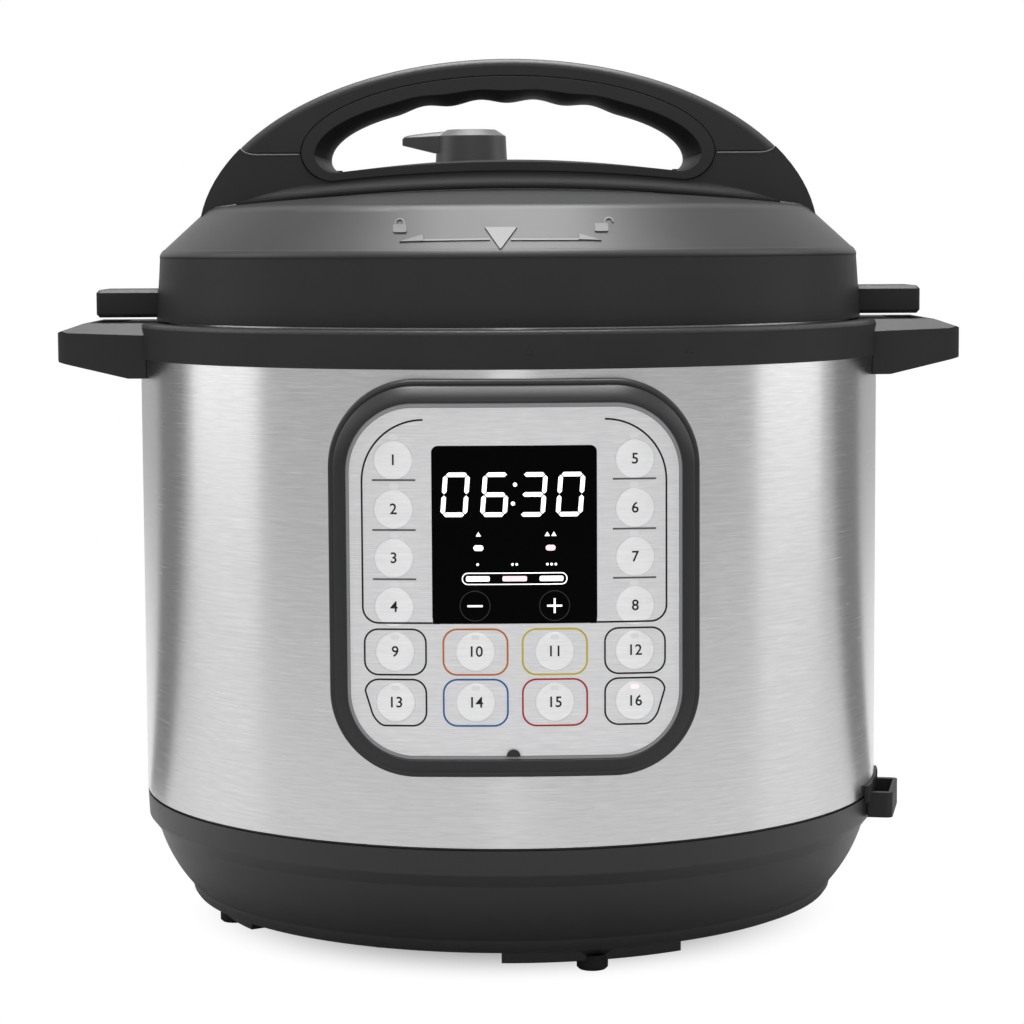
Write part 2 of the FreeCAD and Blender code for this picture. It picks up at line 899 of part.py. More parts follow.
def panel_bezel():
    outer = rounded_rectangle(panel_half_width, panel_bottom, panel_top, panel_corner)
    body = extruded(outer, -far, -panel_root)
    body = body.common(behind_face(0)).cut(post(housing_radius + small, 0, far))
    front_edges = [edge for edge in body.Edges if face_gap(edge) < small]
    body = body.makeFillet(bezel_edge_radius, front_edges)
    seat = extruded(inside_overlay(-0.2), -far, -panel_root).cut(behind_face(overlay_back))
    through = extruded(inside_overlay(bezel_ledge), -far, -panel_root)
    pocket = extruded(inside_overlay(bezel_pocket_inset), -board_front, -panel_root)
    return body.cut(seat).cut(through).cut(pocket).removeSplitter()


# How far an edge's middle lies from the panel's front face.
def face_gap(edge):
    middle = edge.valueAt((edge.FirstParameter + edge.LastParameter) / 2)
    return abs(middle.y - face_y(middle.x, 0))


def key_places():
    places = {}
    for number in range(side_key_rows):
        z = side_key_top - number * side_key_pitch
        places[f"left_key_{number + 1}"] = (-side_key_x, z, key_radius)
        places[f"right_key_{number + 1}"] = (side_key_x, z, key_radius)
    for row, z in enumerate(lower_key_rows):
        for column, x in enumerate(lower_key_columns):
            places[f"lower_key_{row * len(lower_key_columns) + column + 1}"] = (x, z, key_radius)
    for name, side in window_keys.items():
        places[name] = (side * window_key_x, window_key_z, window_key_radius)
    return places


def key_bore(x, z, radius):
    return Part.makeCylinder(radius, far - panel_root, Vector(x, -far, z), back)


def panel_overlay():
    prism = extruded(inside_overlay(0), -far, -panel_root).cut(extruded(window_wire(0.1), -far, -panel_root))
    keys = [place for name, place in key_places().items() if name not in window_keys]
    return face_sheet(prism, keys, overlay_recess, overlay_back)


def window_wire(grow):
    return rounded_rectangle(window_half_width + grow, window_bottom - grow, window_top + grow, 2.2)


def display_window():
    prism = extruded(window_wire(0), -far, -panel_root)
    return face_sheet(prism, [key_places()[name] for name in window_keys], overlay_recess, overlay_back)


def panel_key(x, z, radius):
    disc = key_bore(x, z, radius)
    return disc.common(behind_face(key_front)).cut(behind_face(key_back))


def display_module():
    front = face_y(digits_half_width, overlay_back) + 0.4
    digits = block(-digits_half_width, digits_half_width, front, -board_front, digits_bottom, digits_top)
    lamps = block(-lamps_half_width, lamps_half_width, front, -board_front, lamps_bottom, lamps_top)
    return Part.makeCompound([digits, lamps])


def control_board():
    sheet = extruded(inside_overlay(board_inset), -board_front, -board_front + board_thickness)
    half = switch_half_width
    switches = []
    for x, z, radius in key_places().values():
        tip = face_y(x, key_back) + switch_gap
        body_front = -board_front - switch_height
        switches.append(block(x - half, x + half, body_front, -board_front + small, z - half, z + half))
        switches.append(Part.makeCylinder(switch_tip_radius, -board_front - tip, Vector(x, tip, z), back))
    return sheet.fuse(switches).removeSplitter()


# Lid

def dome_height(radius):
    rise = dome_top - dome_edge
    return dome_top - rise * (radius / dome_edge_radius) ** 2


def lid_shell():
    wall = lid_wall
    middle = 60.0
    return turned(
        (lid_radius, lid_bottom),
        (shoulder_radius, shoulder_height),
        ((shoulder_radius - 0.4, shoulder_height + 1.3), (shoulder_radius - 1.5, shoulder_height + 2.4)),
        (facet_top_radius, facet_top),
        ((facet_top_radius - 2.1, facet_top + 1.7), (dome_edge_radius, dome_edge)),
        ((middle, dome_height(middle)), (0, dome_top)),
        (0, dome_top - wall),
        ((middle, dome_height(middle) - wall), (dome_edge_radius - 1, dome_edge - wall)),
        (facet_top_radius - 2.1, facet_top - 2.0),
        (shoulder_radius - 3.6, shoulder_height + 1.0),
        (shoulder_radius - 2.2, shoulder_height - 1.0),
        (lid_radius - 2.3, lid_bottom),
    )


# The handle's arch in side view is half an ellipse, and its front and back lean inwards.
def handle_arch(inset):
    wide = arch_half_span - inset
    high = arch_rise - inset
    ellipse = Part.Ellipse(
        Vector(wide, 0, arch_center), Vector(0, 0, arch_center + high), Vector(0, 0, arch_center)
    )
    arc = Part.ArcOfEllipse(ellipse, 0, math.pi).toShape()
    chord = Part.makeLine(arc.Vertexes[-1].Point, arc.Vertexes[0].Point)
    arch = extruded(Part.Wire([arc, chord]), -60, 60)
    lean = (arch_half_depth_foot - arch_half_depth_crown) / (arch_crown - arch_foot)
    low_z = lid_bottom
    high_z = arch_crown + 30
    low_depth = arch_half_depth_foot + lean * (arch_foot - low_z) - inset
    high_depth = arch_half_depth_foot + lean * (arch_foot - high_z) - inset
    leaning = outline((-low_depth, low_z), (low_depth, low_z), (high_depth, high_z), (-high_depth, high_z))
    sides = extruded(leaning, -far, far)
    sides.rotate(origin, up, 90)
    return arch.common(sides)


# Outline of the hand opening: a flat arch with finger grooves over a slightly raised floor.
def grip_outline(half_length, end_z, crown, foot_half, foot_z, middle_z, groove, y):
    points = []
    count = 48
    reach = 2 * finger_pitch
    for step in range(count + 1):
        angle = math.pi * step / count
        x = half_length * math.cos(angle)
        z = end_z + crown * math.sin(angle)
        if abs(x) < reach:
            z += groove * (1 - math.cos(2 * math.pi * x / finger_pitch)) / 2
        points.append(Vector(x, y, z))
    top = Part.BSplineCurve()
    top.interpolate(points)
    turn = math.sqrt(0.5)
    bend_x = foot_half + (half_length - foot_half) * turn
    bend_z = end_z - (end_z - foot_z) * turn
    left_foot = Vector(-foot_half, y, foot_z)
    right_foot = Vector(foot_half, y, foot_z)
    left_end = Part.Arc(points[-1], Vector(-bend_x, y, bend_z), left_foot)
    floor = Part.Arc(left_foot, Vector(0, y, middle_z), right_foot)
    right_end = Part.Arc(right_foot, Vector(bend_x, y, bend_z), points[0])
    return Part.Wire([curve.toShape() for curve in (top, left_end, floor, right_end)])


def liner_outline(grow, y):
    return grip_outline(
        liner_half_length + grow, liner_end, liner_crown + grow,
        liner_foot_half + grow * 0.2, liner_foot - grow, liner_floor - grow, 0.0, y,
    )


def liner_plug(grow):
    face = Part.Face(liner_outline(grow, -60))
    return face.extrude(Vector(0, 120, 0))


def above_split(lift):
    bend = 92.0
    tip = 99.6
    rise = 2.6
    slope = 0.5
    end_x = 150.0
    end_z = cap_split + rise + slope * (end_x - tip)
    middle_x = (bend + tip) / 2 + 0.6
    right_side = [
        ((middle_x, cap_split + lift + 0.5), (tip, cap_split + rise + lift)),
        (end_x, end_z + lift),
        (end_x, 400),
    ]
    left_side = [
        (-end_x, 400),
        (-end_x, end_z + lift),
        (-tip, cap_split + rise + lift),
        ((-middle_x, cap_split + lift + 0.5), (-bend, cap_split + lift)),
    ]
    split = outline((-bend, cap_split + lift), (bend, cap_split + lift), *right_side, *left_side)
    return extruded(split, -2 * plinth_half_depth, 2 * plinth_half_depth)


def lid_screw_places():
    for number in range(lid_screw_count):
        yield on_ring(lid_screw_ring_radius, 15 + number * 360.0 / lid_screw_count)


def lid_cover():
    handle = handle_arch(0)
    base = handle.cut(above_split(-split_gap)).cut(liner_plug(liner_gap))
    base = base.cut(post(far, 0, shoulder_height + 10))
    plinth = turned(
        (0, shoulder_height + 10),
        (dome_edge_radius + 1, shoulder_height + 10),
        (dome_edge_radius + 1, dome_edge),
        (dome_edge_radius - 1, dome_edge + 0.4),
        ((60, dome_height(60) + plinth_height * 0.8), (0, dome_top + plinth_height)),
    )
    plinth = plinth.common(block(-far, far, -plinth_half_depth, plinth_half_depth, 0, far))
    ridges = [e for e in plinth.Edges if e.BoundBox.YLength < small and e.CenterOfMass.z > dome_edge + 2]
    plinth = plinth.makeChamfer(plinth_chamfer, ridges)
    shell = lid_shell()
    inside = turned(
        (0, 0),
        (lid_radius - 2.3, 0),
        (lid_radius - 2.3, lid_bottom),
        (shoulder_radius - 2.2, shoulder_height - 1.0),
        (facet_top_radius - 2.1, facet_top - 2.0),
        (dome_edge_radius - 1, dome_edge - lid_wall),
        ((60, dome_height(60) - lid_wall), (0, dome_top - lid_wall)),
    )
    hollow = handle_arch(handle_wall).cut(liner_plug(liner_gap + handle_wall))
    hollow = hollow.cut(above_split(-split_gap - handle_wall))
    hollow = hollow.common(block(-handle_hollow_end, handle_hollow_end, -far, far, 0, far))
    fin = block(120, fin_reach, -fin_half_width, fin_half_width, fin_under, fin_top)
    fin_edges = [edge for edge in fin.Edges if edge.CenterOfMass.x > 121]
    fin = fin.makeChamfer(1.2, fin_edges).cut(post(shoulder_radius, 0, far))
    cover = shell.fuse([base.cut(inside), plinth.cut(inside), fin, mirrored(fin)])
    cover = cover.cut(hollow)
    for x, y in lid_screw_places():
        boss = post(5.0, lid_plate_top, dome_edge + 0.4, x, y)
        cover = cover.fuse(boss).cut(post(screw_radius + screw_play, 0, dome_edge - 3, x, y))
    for side in (-1, 1):
        cover = cover.cut(post(handle_screw_radius + screw_play, 0, far, side * handle_screw_x, 0))
    cover = cover.cut(post(release_hole_radius, 0, far, release_x, release_y))
    cover = cover.cut(post(float_radius + 1.0, 0, far, float_x, float_y))
    return cover.removeSplitter()


def lid_handle_cap():
    handle = handle_arch(0)
    rims = [e for e in handle.Edges if e.Length > 200 and e.BoundBox.ZMax > arch_crown]
    handle = handle.makeFillet(3.0, rims)
    cap = handle.common(above_split(split_gap)).cut(liner_plug(liner_gap))
    hollow = handle_arch(handle_wall).cut(liner_plug(liner_gap + handle_wall))
    hollow = hollow.common(above_split(split_gap + handle_wall))
    cap = cap.cut(hollow)
    for side in (-1, 1):
        x = side * handle_screw_x
        boss = post(4.0, cap_split + split_gap, cap_split + 9, x, 0).common(handle)
        cap = cap.fuse(boss).cut(post(handle_screw_radius + screw_play, 0, cap_split + 8, x, 0))
    return cap.removeSplitter()


def handle_grip_liner():
    front_y = arch_half_depth_foot + 3
    waist = grip_outline(
        passage_half_length, passage_end, passage_crown,
        passage_foot_half, passage_foot, passage_floor, finger_depth, 0,
    )
    mouths = [liner_outline(-liner_lip, y) for y in (-front_y, front_y)]
    passage = Part.makeLoft([mouths[0], waist, mouths[1]], True, False)
    return liner_plug(0).common(handle_arch(-liner_proud)).cut(passage)


def handle_screws():
    head = (handle_screw_head_radius, handle_screw_head_height)
    head_under = cap_split - split_gap - handle_wall - handle_screw_head_height
    solids = []
    for x in (-handle_screw_x, handle_screw_x):
        solids.append(screw(handle_screw_radius, *head, handle_screw_length, x, 0, head_under))
    return Part.makeCompound(solids)


def lid_steel_plate():
    thickness = lid_plate_thickness
    inside = lid_plate_radius - thickness
    plate = turned(
        (lid_plate_radius, lug_under),
        (lid_plate_radius, lid_plate_top - 4.8),
        (lid_plate_radius - 5.3, lid_plate_top),
        (0, lid_plate_top),
        (0, lid_plate_top - thickness),
        (lid_plate_radius - 5.8, lid_plate_top - thickness),
        (inside, lid_plate_top - 5.3),
        (inside, lug_under),
    )
    for angle in tooth_angles(180.0 / tooth_count):
        plate = plate.fuse(sector(lug_inner_radius, inside + 0.6, lug_under, lug_top, angle, tooth_span / 2))
    plate = plate.cut(post(4.6, 0, far, release_x, release_y))
    plate = plate.cut(post(float_radius + 0.8, 0, far, float_x, float_y))
    for x, y in lid_screw_places():
        plate = plate.cut(post(screw_radius + screw_hole_play, 0, far, x, y))
    return plate.removeSplitter()


def lid_screws():
    head = (lid_screw_head_radius, lid_screw_head_height)
    head_under = lid_plate_top - lid_plate_thickness - lid_screw_head_height
    solids = []
    for x, y in lid_screw_places():
        solids.append(screw(screw_radius, *head, lid_screw_length, x, y, head_under))
    return Part.makeCompound(solids)


def sealing_ring_rack():
    top = lid_plate_top - lid_plate_thickness
    return turned(
        (rack_inner, rack_foot), (rack_flange, rack_foot), (rack_flange, rack_foot + rack_thickness),
        (rack_outer, rack_foot + rack_thickness), (rack_outer, top), (rack_inner, top),
    )


def sealing_ring():
    top = lid_plate_top - lid_plate_thickness - 0.35
    web = rack_foot + rack_thickness + 0.4
    lip_inner = ring_groove_inner - 3.0
    return turned(
        (ring_inner, web), (lip_inner, web), (lip_inner, ring_under + 1.2), (lip_inner + 1.2, ring_under),
        (ring_groove_inner, ring_under), (ring_groove_inner, ring_groove_top),
        (ring_groove_outer, ring_groove_top), (ring_groove_outer, ring_under),
        (ring_outer - 1.2, ring_under), (ring_outer, ring_under + 1.2), (ring_outer, top), (ring_inner, top),
    )


def vent_pipe():
    seat = lid_plate_top - lid_plate_thickness
    pipe = turned(
        (pipe_bore, pipe_bottom), (pipe_radius - 0.1, pipe_bottom), (pipe_radius - 0.1, seat - 3),
        (2 * pipe_radius, seat - 3), (2 * pipe_radius, seat), (pipe_radius, seat),
        (pipe_radius, pipe_top - 1.6), (pipe_radius - 1.3, pipe_top), (pipe_bore, pipe_top),
    )
    pipe.translate(Vector(release_x, release_y, 0))
    return pipe


def anti_block_shield():
    seat = lid_plate_top - lid_plate_thickness
    top = seat - 0.1
    inside = shield_radius - shield_wall
    floor = shield_bottom + shield_wall
    shield = turned(
        (0, shield_bottom), (shield_radius - 2.4, shield_bottom), (shield_radius, shield_bottom + 2.4),
        (shield_radius, top), (inside, top), (inside, floor + 1.8), (inside - 1.8, floor), (0, floor),
    )
    for number in range(shield_slot_count):
        slot = block(shield_radius - 4, shield_radius + 4, -1.4, 1.4, shield_bottom + 4, top - 4)
        slot.rotate(origin, up, number * 360.0 / shield_slot_count)
        shield = shield.cut(slot)
    spider = block(-inside - small, inside + small, -1.2, 1.2, pipe_bottom + 0.5, pipe_bottom + 2.5)
    spider = spider.cut(post(pipe_radius - 0.1, 0, far))
    spider.rotate(origin, up, 180.0 / shield_slot_count)
    shield = shield.fuse(spider)
    shield.translate(Vector(release_x, release_y, 0))
    return shield.removeSplitter()


def steam_release_handle():
    shoulder = release_top - release_shoulder_drop
    knob = turned(
        (release_bore_radius, release_bottom), (release_radius, release_bottom),
        (release_radius - release_draft, shoulder), (release_crown_radius, release_top), (0, release_top),
        (0, release_bore_top), (release_bore_radius, release_bore_top),
    )
    lever_wire = outline(
        (0, lever_root_under), (-release_radius, lever_root_under + 0.5), (-lever_reach, lever_tip_under),
        (-lever_reach, lever_tip_top - 0.8),
        ((-lever_reach + 0.5, lever_tip_top - 0.2), (-lever_reach + 1.5, lever_tip_top)),
        (0.7 - release_radius, shoulder), (0, shoulder),
    )
    lever = extruded(lever_wire, -lever_neck_half_width, lever_neck_half_width)
    side = [
        (release_crown_radius - 1.6, lever_root_half_width), (-release_radius, lever_neck_half_width),
        (-lever_reach - 1, lever_tip_half_width),
    ]
    plan = side + [(x, -y) for x, y in reversed(side)] + side[:1]
    taper = Part.Face(Part.makePolygon([Vector(x, y, release_bottom) for x, y in plan]))
    lever = lever.common(taper.extrude(Vector(0, 0, release_top - release_bottom)))
    knob = knob.fuse(lever).cut(post(release_bore_radius, 0, release_bore_top))
    knob.translate(Vector(release_x, release_y, 0))
    return knob.removeSplitter()


def float_valve():
    stem = float_radius - 1.4
    flange = float_bottom + 1.2
    shoulder = flange + 4.4
    pin = turned(
        (0, float_bottom), (5.0, float_bottom), (5.0, flange), (stem, flange), (stem, shoulder),
        (float_radius, shoulder), (float_radius, float_top - 0.8), (float_radius - 0.8, float_top),
        (0, float_top),
    )
    pin.translate(Vector(float_x, float_y, 0))
    return pin


def float_seal():
    stem = float_radius - 1.4
    under = float_bottom + 1.2
    top = under + 4.2
    seal = turned((stem, under), (6.4, under), (7.2, under + 1.2), (6.4, top), (stem, top))
    seal.translate(Vector(float_x, float_y, 0))
    return seal


pieces = {
    "base_bowl": base_bowl(),
    "feet": feet(),
    "base_plate": base_plate(),
    "base_screws": base_screws(),
    "spoon_holder_socket": spoon_holder_socket(),
    "steel_housing": steel_housing(),
    "upper_rim": upper_rim(),
    "outer_pot": outer_pot(),
    "inner_pot": inner_pot(),
    "heating_plate": heating_plate(),
    "sensor_button": sensor_button(),
    "sensor_spring": sensor_spring(),
    "sensor_bracket": sensor_bracket(),
    "pressure_switch": pressure_switch(),
    "power_board": power_board(),
    "power_inlet": power_inlet(),
    "collector_bracket": collector_bracket(),
    "condensation_collector": condensation_collector(),
    "panel_bezel": panel_bezel(),
    "panel_overlay": panel_overlay(),
    "display_window": display_window(),
    "display_module": display_module(),
    "control_board": control_board(),
    "lid_cover": lid_cover(),
    "lid_handle_cap": lid_handle_cap(),
    "handle_grip_liner": handle_grip_liner(),
    "handle_screws": handle_screws(),
    "lid_steel_plate": lid_steel_plate(),
    "lid_screws": lid_screws(),
    "sealing_ring_rack": sealing_ring_rack(),
    "sealing_ring": sealing_ring(),
    "vent_pipe": vent_pipe(),
    "anti_block_shield": anti_block_shield(),
    "steam_release_handle": steam_release_handle(),
    "float_valve": float_valve(),
    "float_seal": float_seal(),
}
for name, place in key_places().items():
    pieces[name] = panel_key(*place)

os.makedirs("parts", exist_ok=True)
for name, shape in pieces.items():
    shape.exportStep(f"parts/{name}.step")
    print(name, len(shape.Solids), shape.isValid(), round(shape.Volume / 1000, 2), "cm3")
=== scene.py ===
import json
import math

import bmesh
import bpy
from mathutils import Matrix, Vector


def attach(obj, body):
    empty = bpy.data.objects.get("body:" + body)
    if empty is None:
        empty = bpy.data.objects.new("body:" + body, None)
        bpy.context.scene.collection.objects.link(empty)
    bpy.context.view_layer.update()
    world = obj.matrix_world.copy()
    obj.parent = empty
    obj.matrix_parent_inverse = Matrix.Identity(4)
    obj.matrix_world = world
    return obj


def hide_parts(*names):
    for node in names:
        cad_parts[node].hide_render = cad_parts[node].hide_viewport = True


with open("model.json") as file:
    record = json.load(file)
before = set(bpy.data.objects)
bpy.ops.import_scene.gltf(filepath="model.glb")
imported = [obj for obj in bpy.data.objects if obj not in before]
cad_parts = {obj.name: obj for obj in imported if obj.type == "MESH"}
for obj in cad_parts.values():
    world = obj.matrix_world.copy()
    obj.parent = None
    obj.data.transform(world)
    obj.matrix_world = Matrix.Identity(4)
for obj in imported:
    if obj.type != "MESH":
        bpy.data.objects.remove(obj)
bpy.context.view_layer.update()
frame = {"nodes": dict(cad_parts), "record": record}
scene = bpy.context.scene
mm = 0.001
wrapRadius = 138 * mm  # the streaks of round steel run along this circle
print("frame loaded,", len(frame["nodes"]), "nodes")


def linear(hexCode):
    channels = [int(hexCode[i:i + 2], 16) / 255 for i in (0, 2, 4)]
    return tuple(c / 12.92 if c <= 0.04045 else ((c + 0.055) / 1.055) ** 2.4 for c in channels) + (1.0,)


def addNode(tree, kind, settings=None, feeds=None):
    node = tree.nodes.new(kind)
    for name, value in (settings or {}).items():
        setattr(node, name, value)
    for socket, value in (feeds or {}).items():
        if isinstance(value, bpy.types.NodeSocket):
            tree.links.new(value, node.inputs[socket])
        else:
            node.inputs[socket].default_value = value
    return node


def newMaterial(name):
    material = bpy.data.materials.new(name)
    material.use_nodes = True
    material.node_tree.nodes.clear()
    return material, material.node_tree


def finishMaterial(tree, shader):
    addNode(tree, "ShaderNodeOutputMaterial", feeds={"Surface": shader.outputs["BSDF"]})


# Materials

# slope and level: how far a face looks up, 0 to 1, where the sheen begins to change and where it has changed
mouldedSheen = {
    "ior": 1.49, "glossSpread": 0.05, "slope": (0.05, 0.5), "level": (0.8, 0.96), "levelShare": 0.26,
}


# Moulded plastic, rubber or lacquer: a fine grain and a soft sheen, which differs between walls and slopes
def mouldedPlastic(name, look):
    material, tree = newMaterial(name)
    place = addNode(tree, "ShaderNodeTexCoord").outputs["Object"]
    grain = addNode(tree, "ShaderNodeTexNoise", feeds={
        "Vector": place, "Scale": 1 / (look["grainMm"] * mm), "Detail": 3.0, "Roughness": 0.6})
    cloud = addNode(tree, "ShaderNodeTexNoise", feeds={
        "Vector": place, "Scale": 1 / (look["cloudMm"] * mm), "Detail": 2.0})
    color = addNode(tree, "ShaderNodeMix", {"data_type": "RGBA"}, {
        "Factor": cloud.outputs["Fac"], "A": linear(look["color"]), "B": linear(look["worn"])})
    gloss = addNode(tree, "ShaderNodeMapRange", feeds={
        "Value": cloud.outputs["Fac"], "To Min": look["roughness"] - mouldedSheen["glossSpread"],
        "To Max": look["roughness"] + mouldedSheen["glossSpread"]})
    facing = addNode(tree, "ShaderNodeSeparateXYZ", feeds={
        "Vector": addNode(tree, "ShaderNodeNewGeometry").outputs["Normal"]})
    wall, slope = mouldedSheen["slope"]
    shine = addNode(tree, "ShaderNodeMapRange", feeds={
        "Value": facing.outputs["Z"], "From Min": wall, "From Max": slope,
        "To Min": look["wallShine"], "To Max": look["shine"]})
    # near-level faces are seen at a grazing angle, where the grain hides most of the sheen
    nearLevel, level = mouldedSheen["level"]
    dulled = addNode(tree, "ShaderNodeMapRange", feeds={
        "Value": facing.outputs["Z"], "From Min": nearLevel, "From Max": level,
        "To Min": 1.0, "To Max": mouldedSheen["levelShare"]})
    sheen = addNode(tree, "ShaderNodeMath", {"operation": "MULTIPLY"}, {
        0: shine.outputs["Result"], 1: dulled.outputs["Result"]})
    edge = addNode(tree, "ShaderNodeBevel", {"samples": 4}, {"Radius": look["edgeMm"] * mm})
    bump = addNode(tree, "ShaderNodeBump", feeds={
        "Strength": look["grainStrength"], "Distance": look["grainDepthMm"] * mm,
        "Height": grain.outputs["Fac"], "Normal": edge.outputs["Normal"]})
    shader = addNode(tree, "ShaderNodeBsdfPrincipled", feeds={
        "Base Color": color.outputs["Result"], "Roughness": gloss.outputs["Result"],
        "IOR": mouldedSheen["ior"], "Specular IOR Level": sheen.outputs[0], "Normal": bump.outputs["Normal"]})
    finishMaterial(tree, shader)
    return material


brushMarks = {"contrast": (0.1, 0.45), "glossSpread": 0.06, "depthMm": 0.01, "turn": 0.25}


# Steel or film brushed one way, with streaks drawn coarser than the real grit so that they show
def brushedSteel(name, look, around):
    material, tree = newMaterial(name)
    place = addNode(tree, "ShaderNodeTexCoord").outputs["Object"]
    axes = addNode(tree, "ShaderNodeSeparateXYZ", feeds={"Vector": place})
    along = axes.outputs["X"]
    if around:
        backwards = addNode(tree, "ShaderNodeMath", {"operation": "MULTIPLY"}, {
            0: axes.outputs["Y"], 1: -1.0})
        angle = addNode(tree, "ShaderNodeMath", {"operation": "ARCTAN2"}, {
            0: axes.outputs["X"], 1: backwards.outputs[0]})
        along = addNode(tree, "ShaderNodeMath", {"operation": "MULTIPLY"}, {
            0: angle.outputs[0], 1: wrapRadius}).outputs[0]
    flat = addNode(tree, "ShaderNodeCombineXYZ", feeds={"X": along, "Z": axes.outputs["Z"]})
    streaks = []
    for length, width in look["streaksMm"]:
        stretch = addNode(tree, "ShaderNodeMapping", feeds={
            "Vector": flat.outputs["Vector"], "Scale": (1 / (length * mm), 1.0, 1 / (width * mm))})
        noise = addNode(tree, "ShaderNodeTexNoise", feeds={
            "Vector": stretch.outputs["Vector"], "Scale": 1.0, "Detail": 2.0, "Roughness": 0.65})
        streaks.append(noise.outputs["Fac"])
    both = addNode(tree, "ShaderNodeMath", {"operation": "MULTIPLY"}, {0: streaks[0], 1: streaks[1]})
    faint, strong = brushMarks["contrast"]
    spread = addNode(tree, "ShaderNodeMapRange", feeds={
        "Value": both.outputs[0], "From Min": faint, "From Max": strong})
    color = addNode(tree, "ShaderNodeMix", {"data_type": "RGBA"}, {
        "Factor": spread.outputs["Result"], "A": linear(look["dark"]), "B": linear(look["light"])})
    gloss = addNode(tree, "ShaderNodeMapRange", feeds={
        "Value": streaks[0], "To Min": look["roughness"] - brushMarks["glossSpread"],
        "To Max": look["roughness"] + brushMarks["glossSpread"]})
    bump = addNode(tree, "ShaderNodeBump", feeds={
        "Strength": look["bump"], "Distance": brushMarks["depthMm"] * mm, "Height": both.outputs[0]})
    feeds = {
        "Base Color": color.outputs["Result"], "Metallic": look["metallic"],
        "Roughness": gloss.outputs["Result"], "Normal": bump.outputs["Normal"]}
    if around:
        tangent = addNode(tree, "ShaderNodeTangent", {"direction_type": "RADIAL", "axis": "Z"})
        feeds.update({
            "Anisotropic": look["stretch"], "Anisotropic Rotation": brushMarks["turn"],
            "Tangent": tangent.outputs["Tangent"]})
    finishMaterial(tree, addNode(tree, "ShaderNodeBsdfPrincipled", feeds=feeds))
    return material


metalDents = {"glossSpread": 0.06, "strength": 0.15, "depthMm": 0.02}


# Pressed or cast metal with faint mottling and small dents
def plainMetal(name, look):
    material, tree = newMaterial(name)
    place = addNode(tree, "ShaderNodeTexCoord").outputs["Object"]
    mottle = addNode(tree, "ShaderNodeTexNoise", feeds={
        "Vector": place, "Scale": 1 / (look["mottleMm"] * mm), "Detail": 4.0})
    color = addNode(tree, "ShaderNodeMix", {"data_type": "RGBA"}, {
        "Factor": mottle.outputs["Fac"], "A": linear(look["dark"]), "B": linear(look["light"])})
    gloss = addNode(tree, "ShaderNodeMapRange", feeds={
        "Value": mottle.outputs["Fac"], "To Min": look["roughness"] - metalDents["glossSpread"],
        "To Max": look["roughness"] + metalDents["glossSpread"]})
    bump = addNode(tree, "ShaderNodeBump", feeds={
        "Strength": metalDents["strength"], "Distance": metalDents["depthMm"] * mm,
        "Height": mottle.outputs["Fac"]})
    finishMaterial(tree, addNode(tree, "ShaderNodeBsdfPrincipled", feeds={
        "Base Color": color.outputs["Result"], "Metallic": 1.0, "Roughness": gloss.outputs["Result"],
        "Normal": bump.outputs["Normal"]}))
    return material


hazeSpread = 0.04  # how far the haze changes the roughness


# Milky silicone or clear styrene: light passes in and comes out tinted
def clearMoulding(name, look):
    material, tree = newMaterial(name)
    place = addNode(tree, "ShaderNodeTexCoord").outputs["Object"]
    haze = addNode(tree, "ShaderNodeTexNoise", feeds={
        "Vector": place, "Scale": 1 / (look["hazeMm"] * mm), "Detail": 2.0})
    color = addNode(tree, "ShaderNodeMix", {"data_type": "RGBA"}, {
        "Factor": haze.outputs["Fac"], "A": linear(look["dark"]), "B": linear(look["light"])})
    gloss = addNode(tree, "ShaderNodeMapRange", feeds={
        "Value": haze.outputs["Fac"], "To Min": look["roughness"] - hazeSpread,
        "To Max": look["roughness"] + hazeSpread})
    finishMaterial(tree, addNode(tree, "ShaderNodeBsdfPrincipled", feeds={
        "Base Color": color.outputs["Result"], "Roughness": gloss.outputs["Result"], "IOR": look["ior"],
        "Transmission Weight": look["clear"]}))
    return material


inkCoat = {"speckMm": 0.6, "speckShare": 0.92, "roughness": 0.45, "shine": 0.3}


# Screen-printed ink or a lit segment: thin even colour with a slight mottle
def printedInk(name, hexCode, glow=0.0):
    material, tree = newMaterial(name)
    place = addNode(tree, "ShaderNodeTexCoord").outputs["Object"]
    speck = addNode(tree, "ShaderNodeTexNoise", feeds={
        "Vector": place, "Scale": 1 / (inkCoat["speckMm"] * mm), "Detail": 2.0})
    base = linear(hexCode)
    dimmer = tuple(c * inkCoat["speckShare"] for c in base[:3]) + (1.0,)
    color = addNode(tree, "ShaderNodeMix", {"data_type": "RGBA"}, {
        "Factor": speck.outputs["Fac"], "A": dimmer, "B": base})
    feeds = {
        "Base Color": color.outputs["Result"], "Roughness": inkCoat["roughness"],
        "Specular IOR Level": inkCoat["shine"]}
    if glow:
        feeds.update({"Emission Color": color.outputs["Result"], "Emission Strength": glow})
    finishMaterial(tree, addNode(tree, "ShaderNodeBsdfPrincipled", feeds=feeds))
    return material


# lid and rim: dark grey walls, with a soft light on each slope
blackPlastic = mouldedPlastic("mouldedBlackPolypropylene", {
    "color": "323233", "worn": "383839", "roughness": 0.4, "shine": 0.58, "wallShine": 0.02, "grainMm": 0.4,
    "cloudMm": 30.0, "grainStrength": 0.35, "grainDepthMm": 0.03, "edgeMm": 0.5})
# base: a deeper black that takes some light from the sides
basePlastic = mouldedPlastic("satinBlackPolypropylene", {
    "color": "171718", "worn": "1d1d1e", "roughness": 0.42, "shine": 0.5, "wallShine": 0.5, "grainMm": 0.4,
    "cloudMm": 30.0, "grainStrength": 0.3, "grainDepthMm": 0.03, "edgeMm": 0.5})
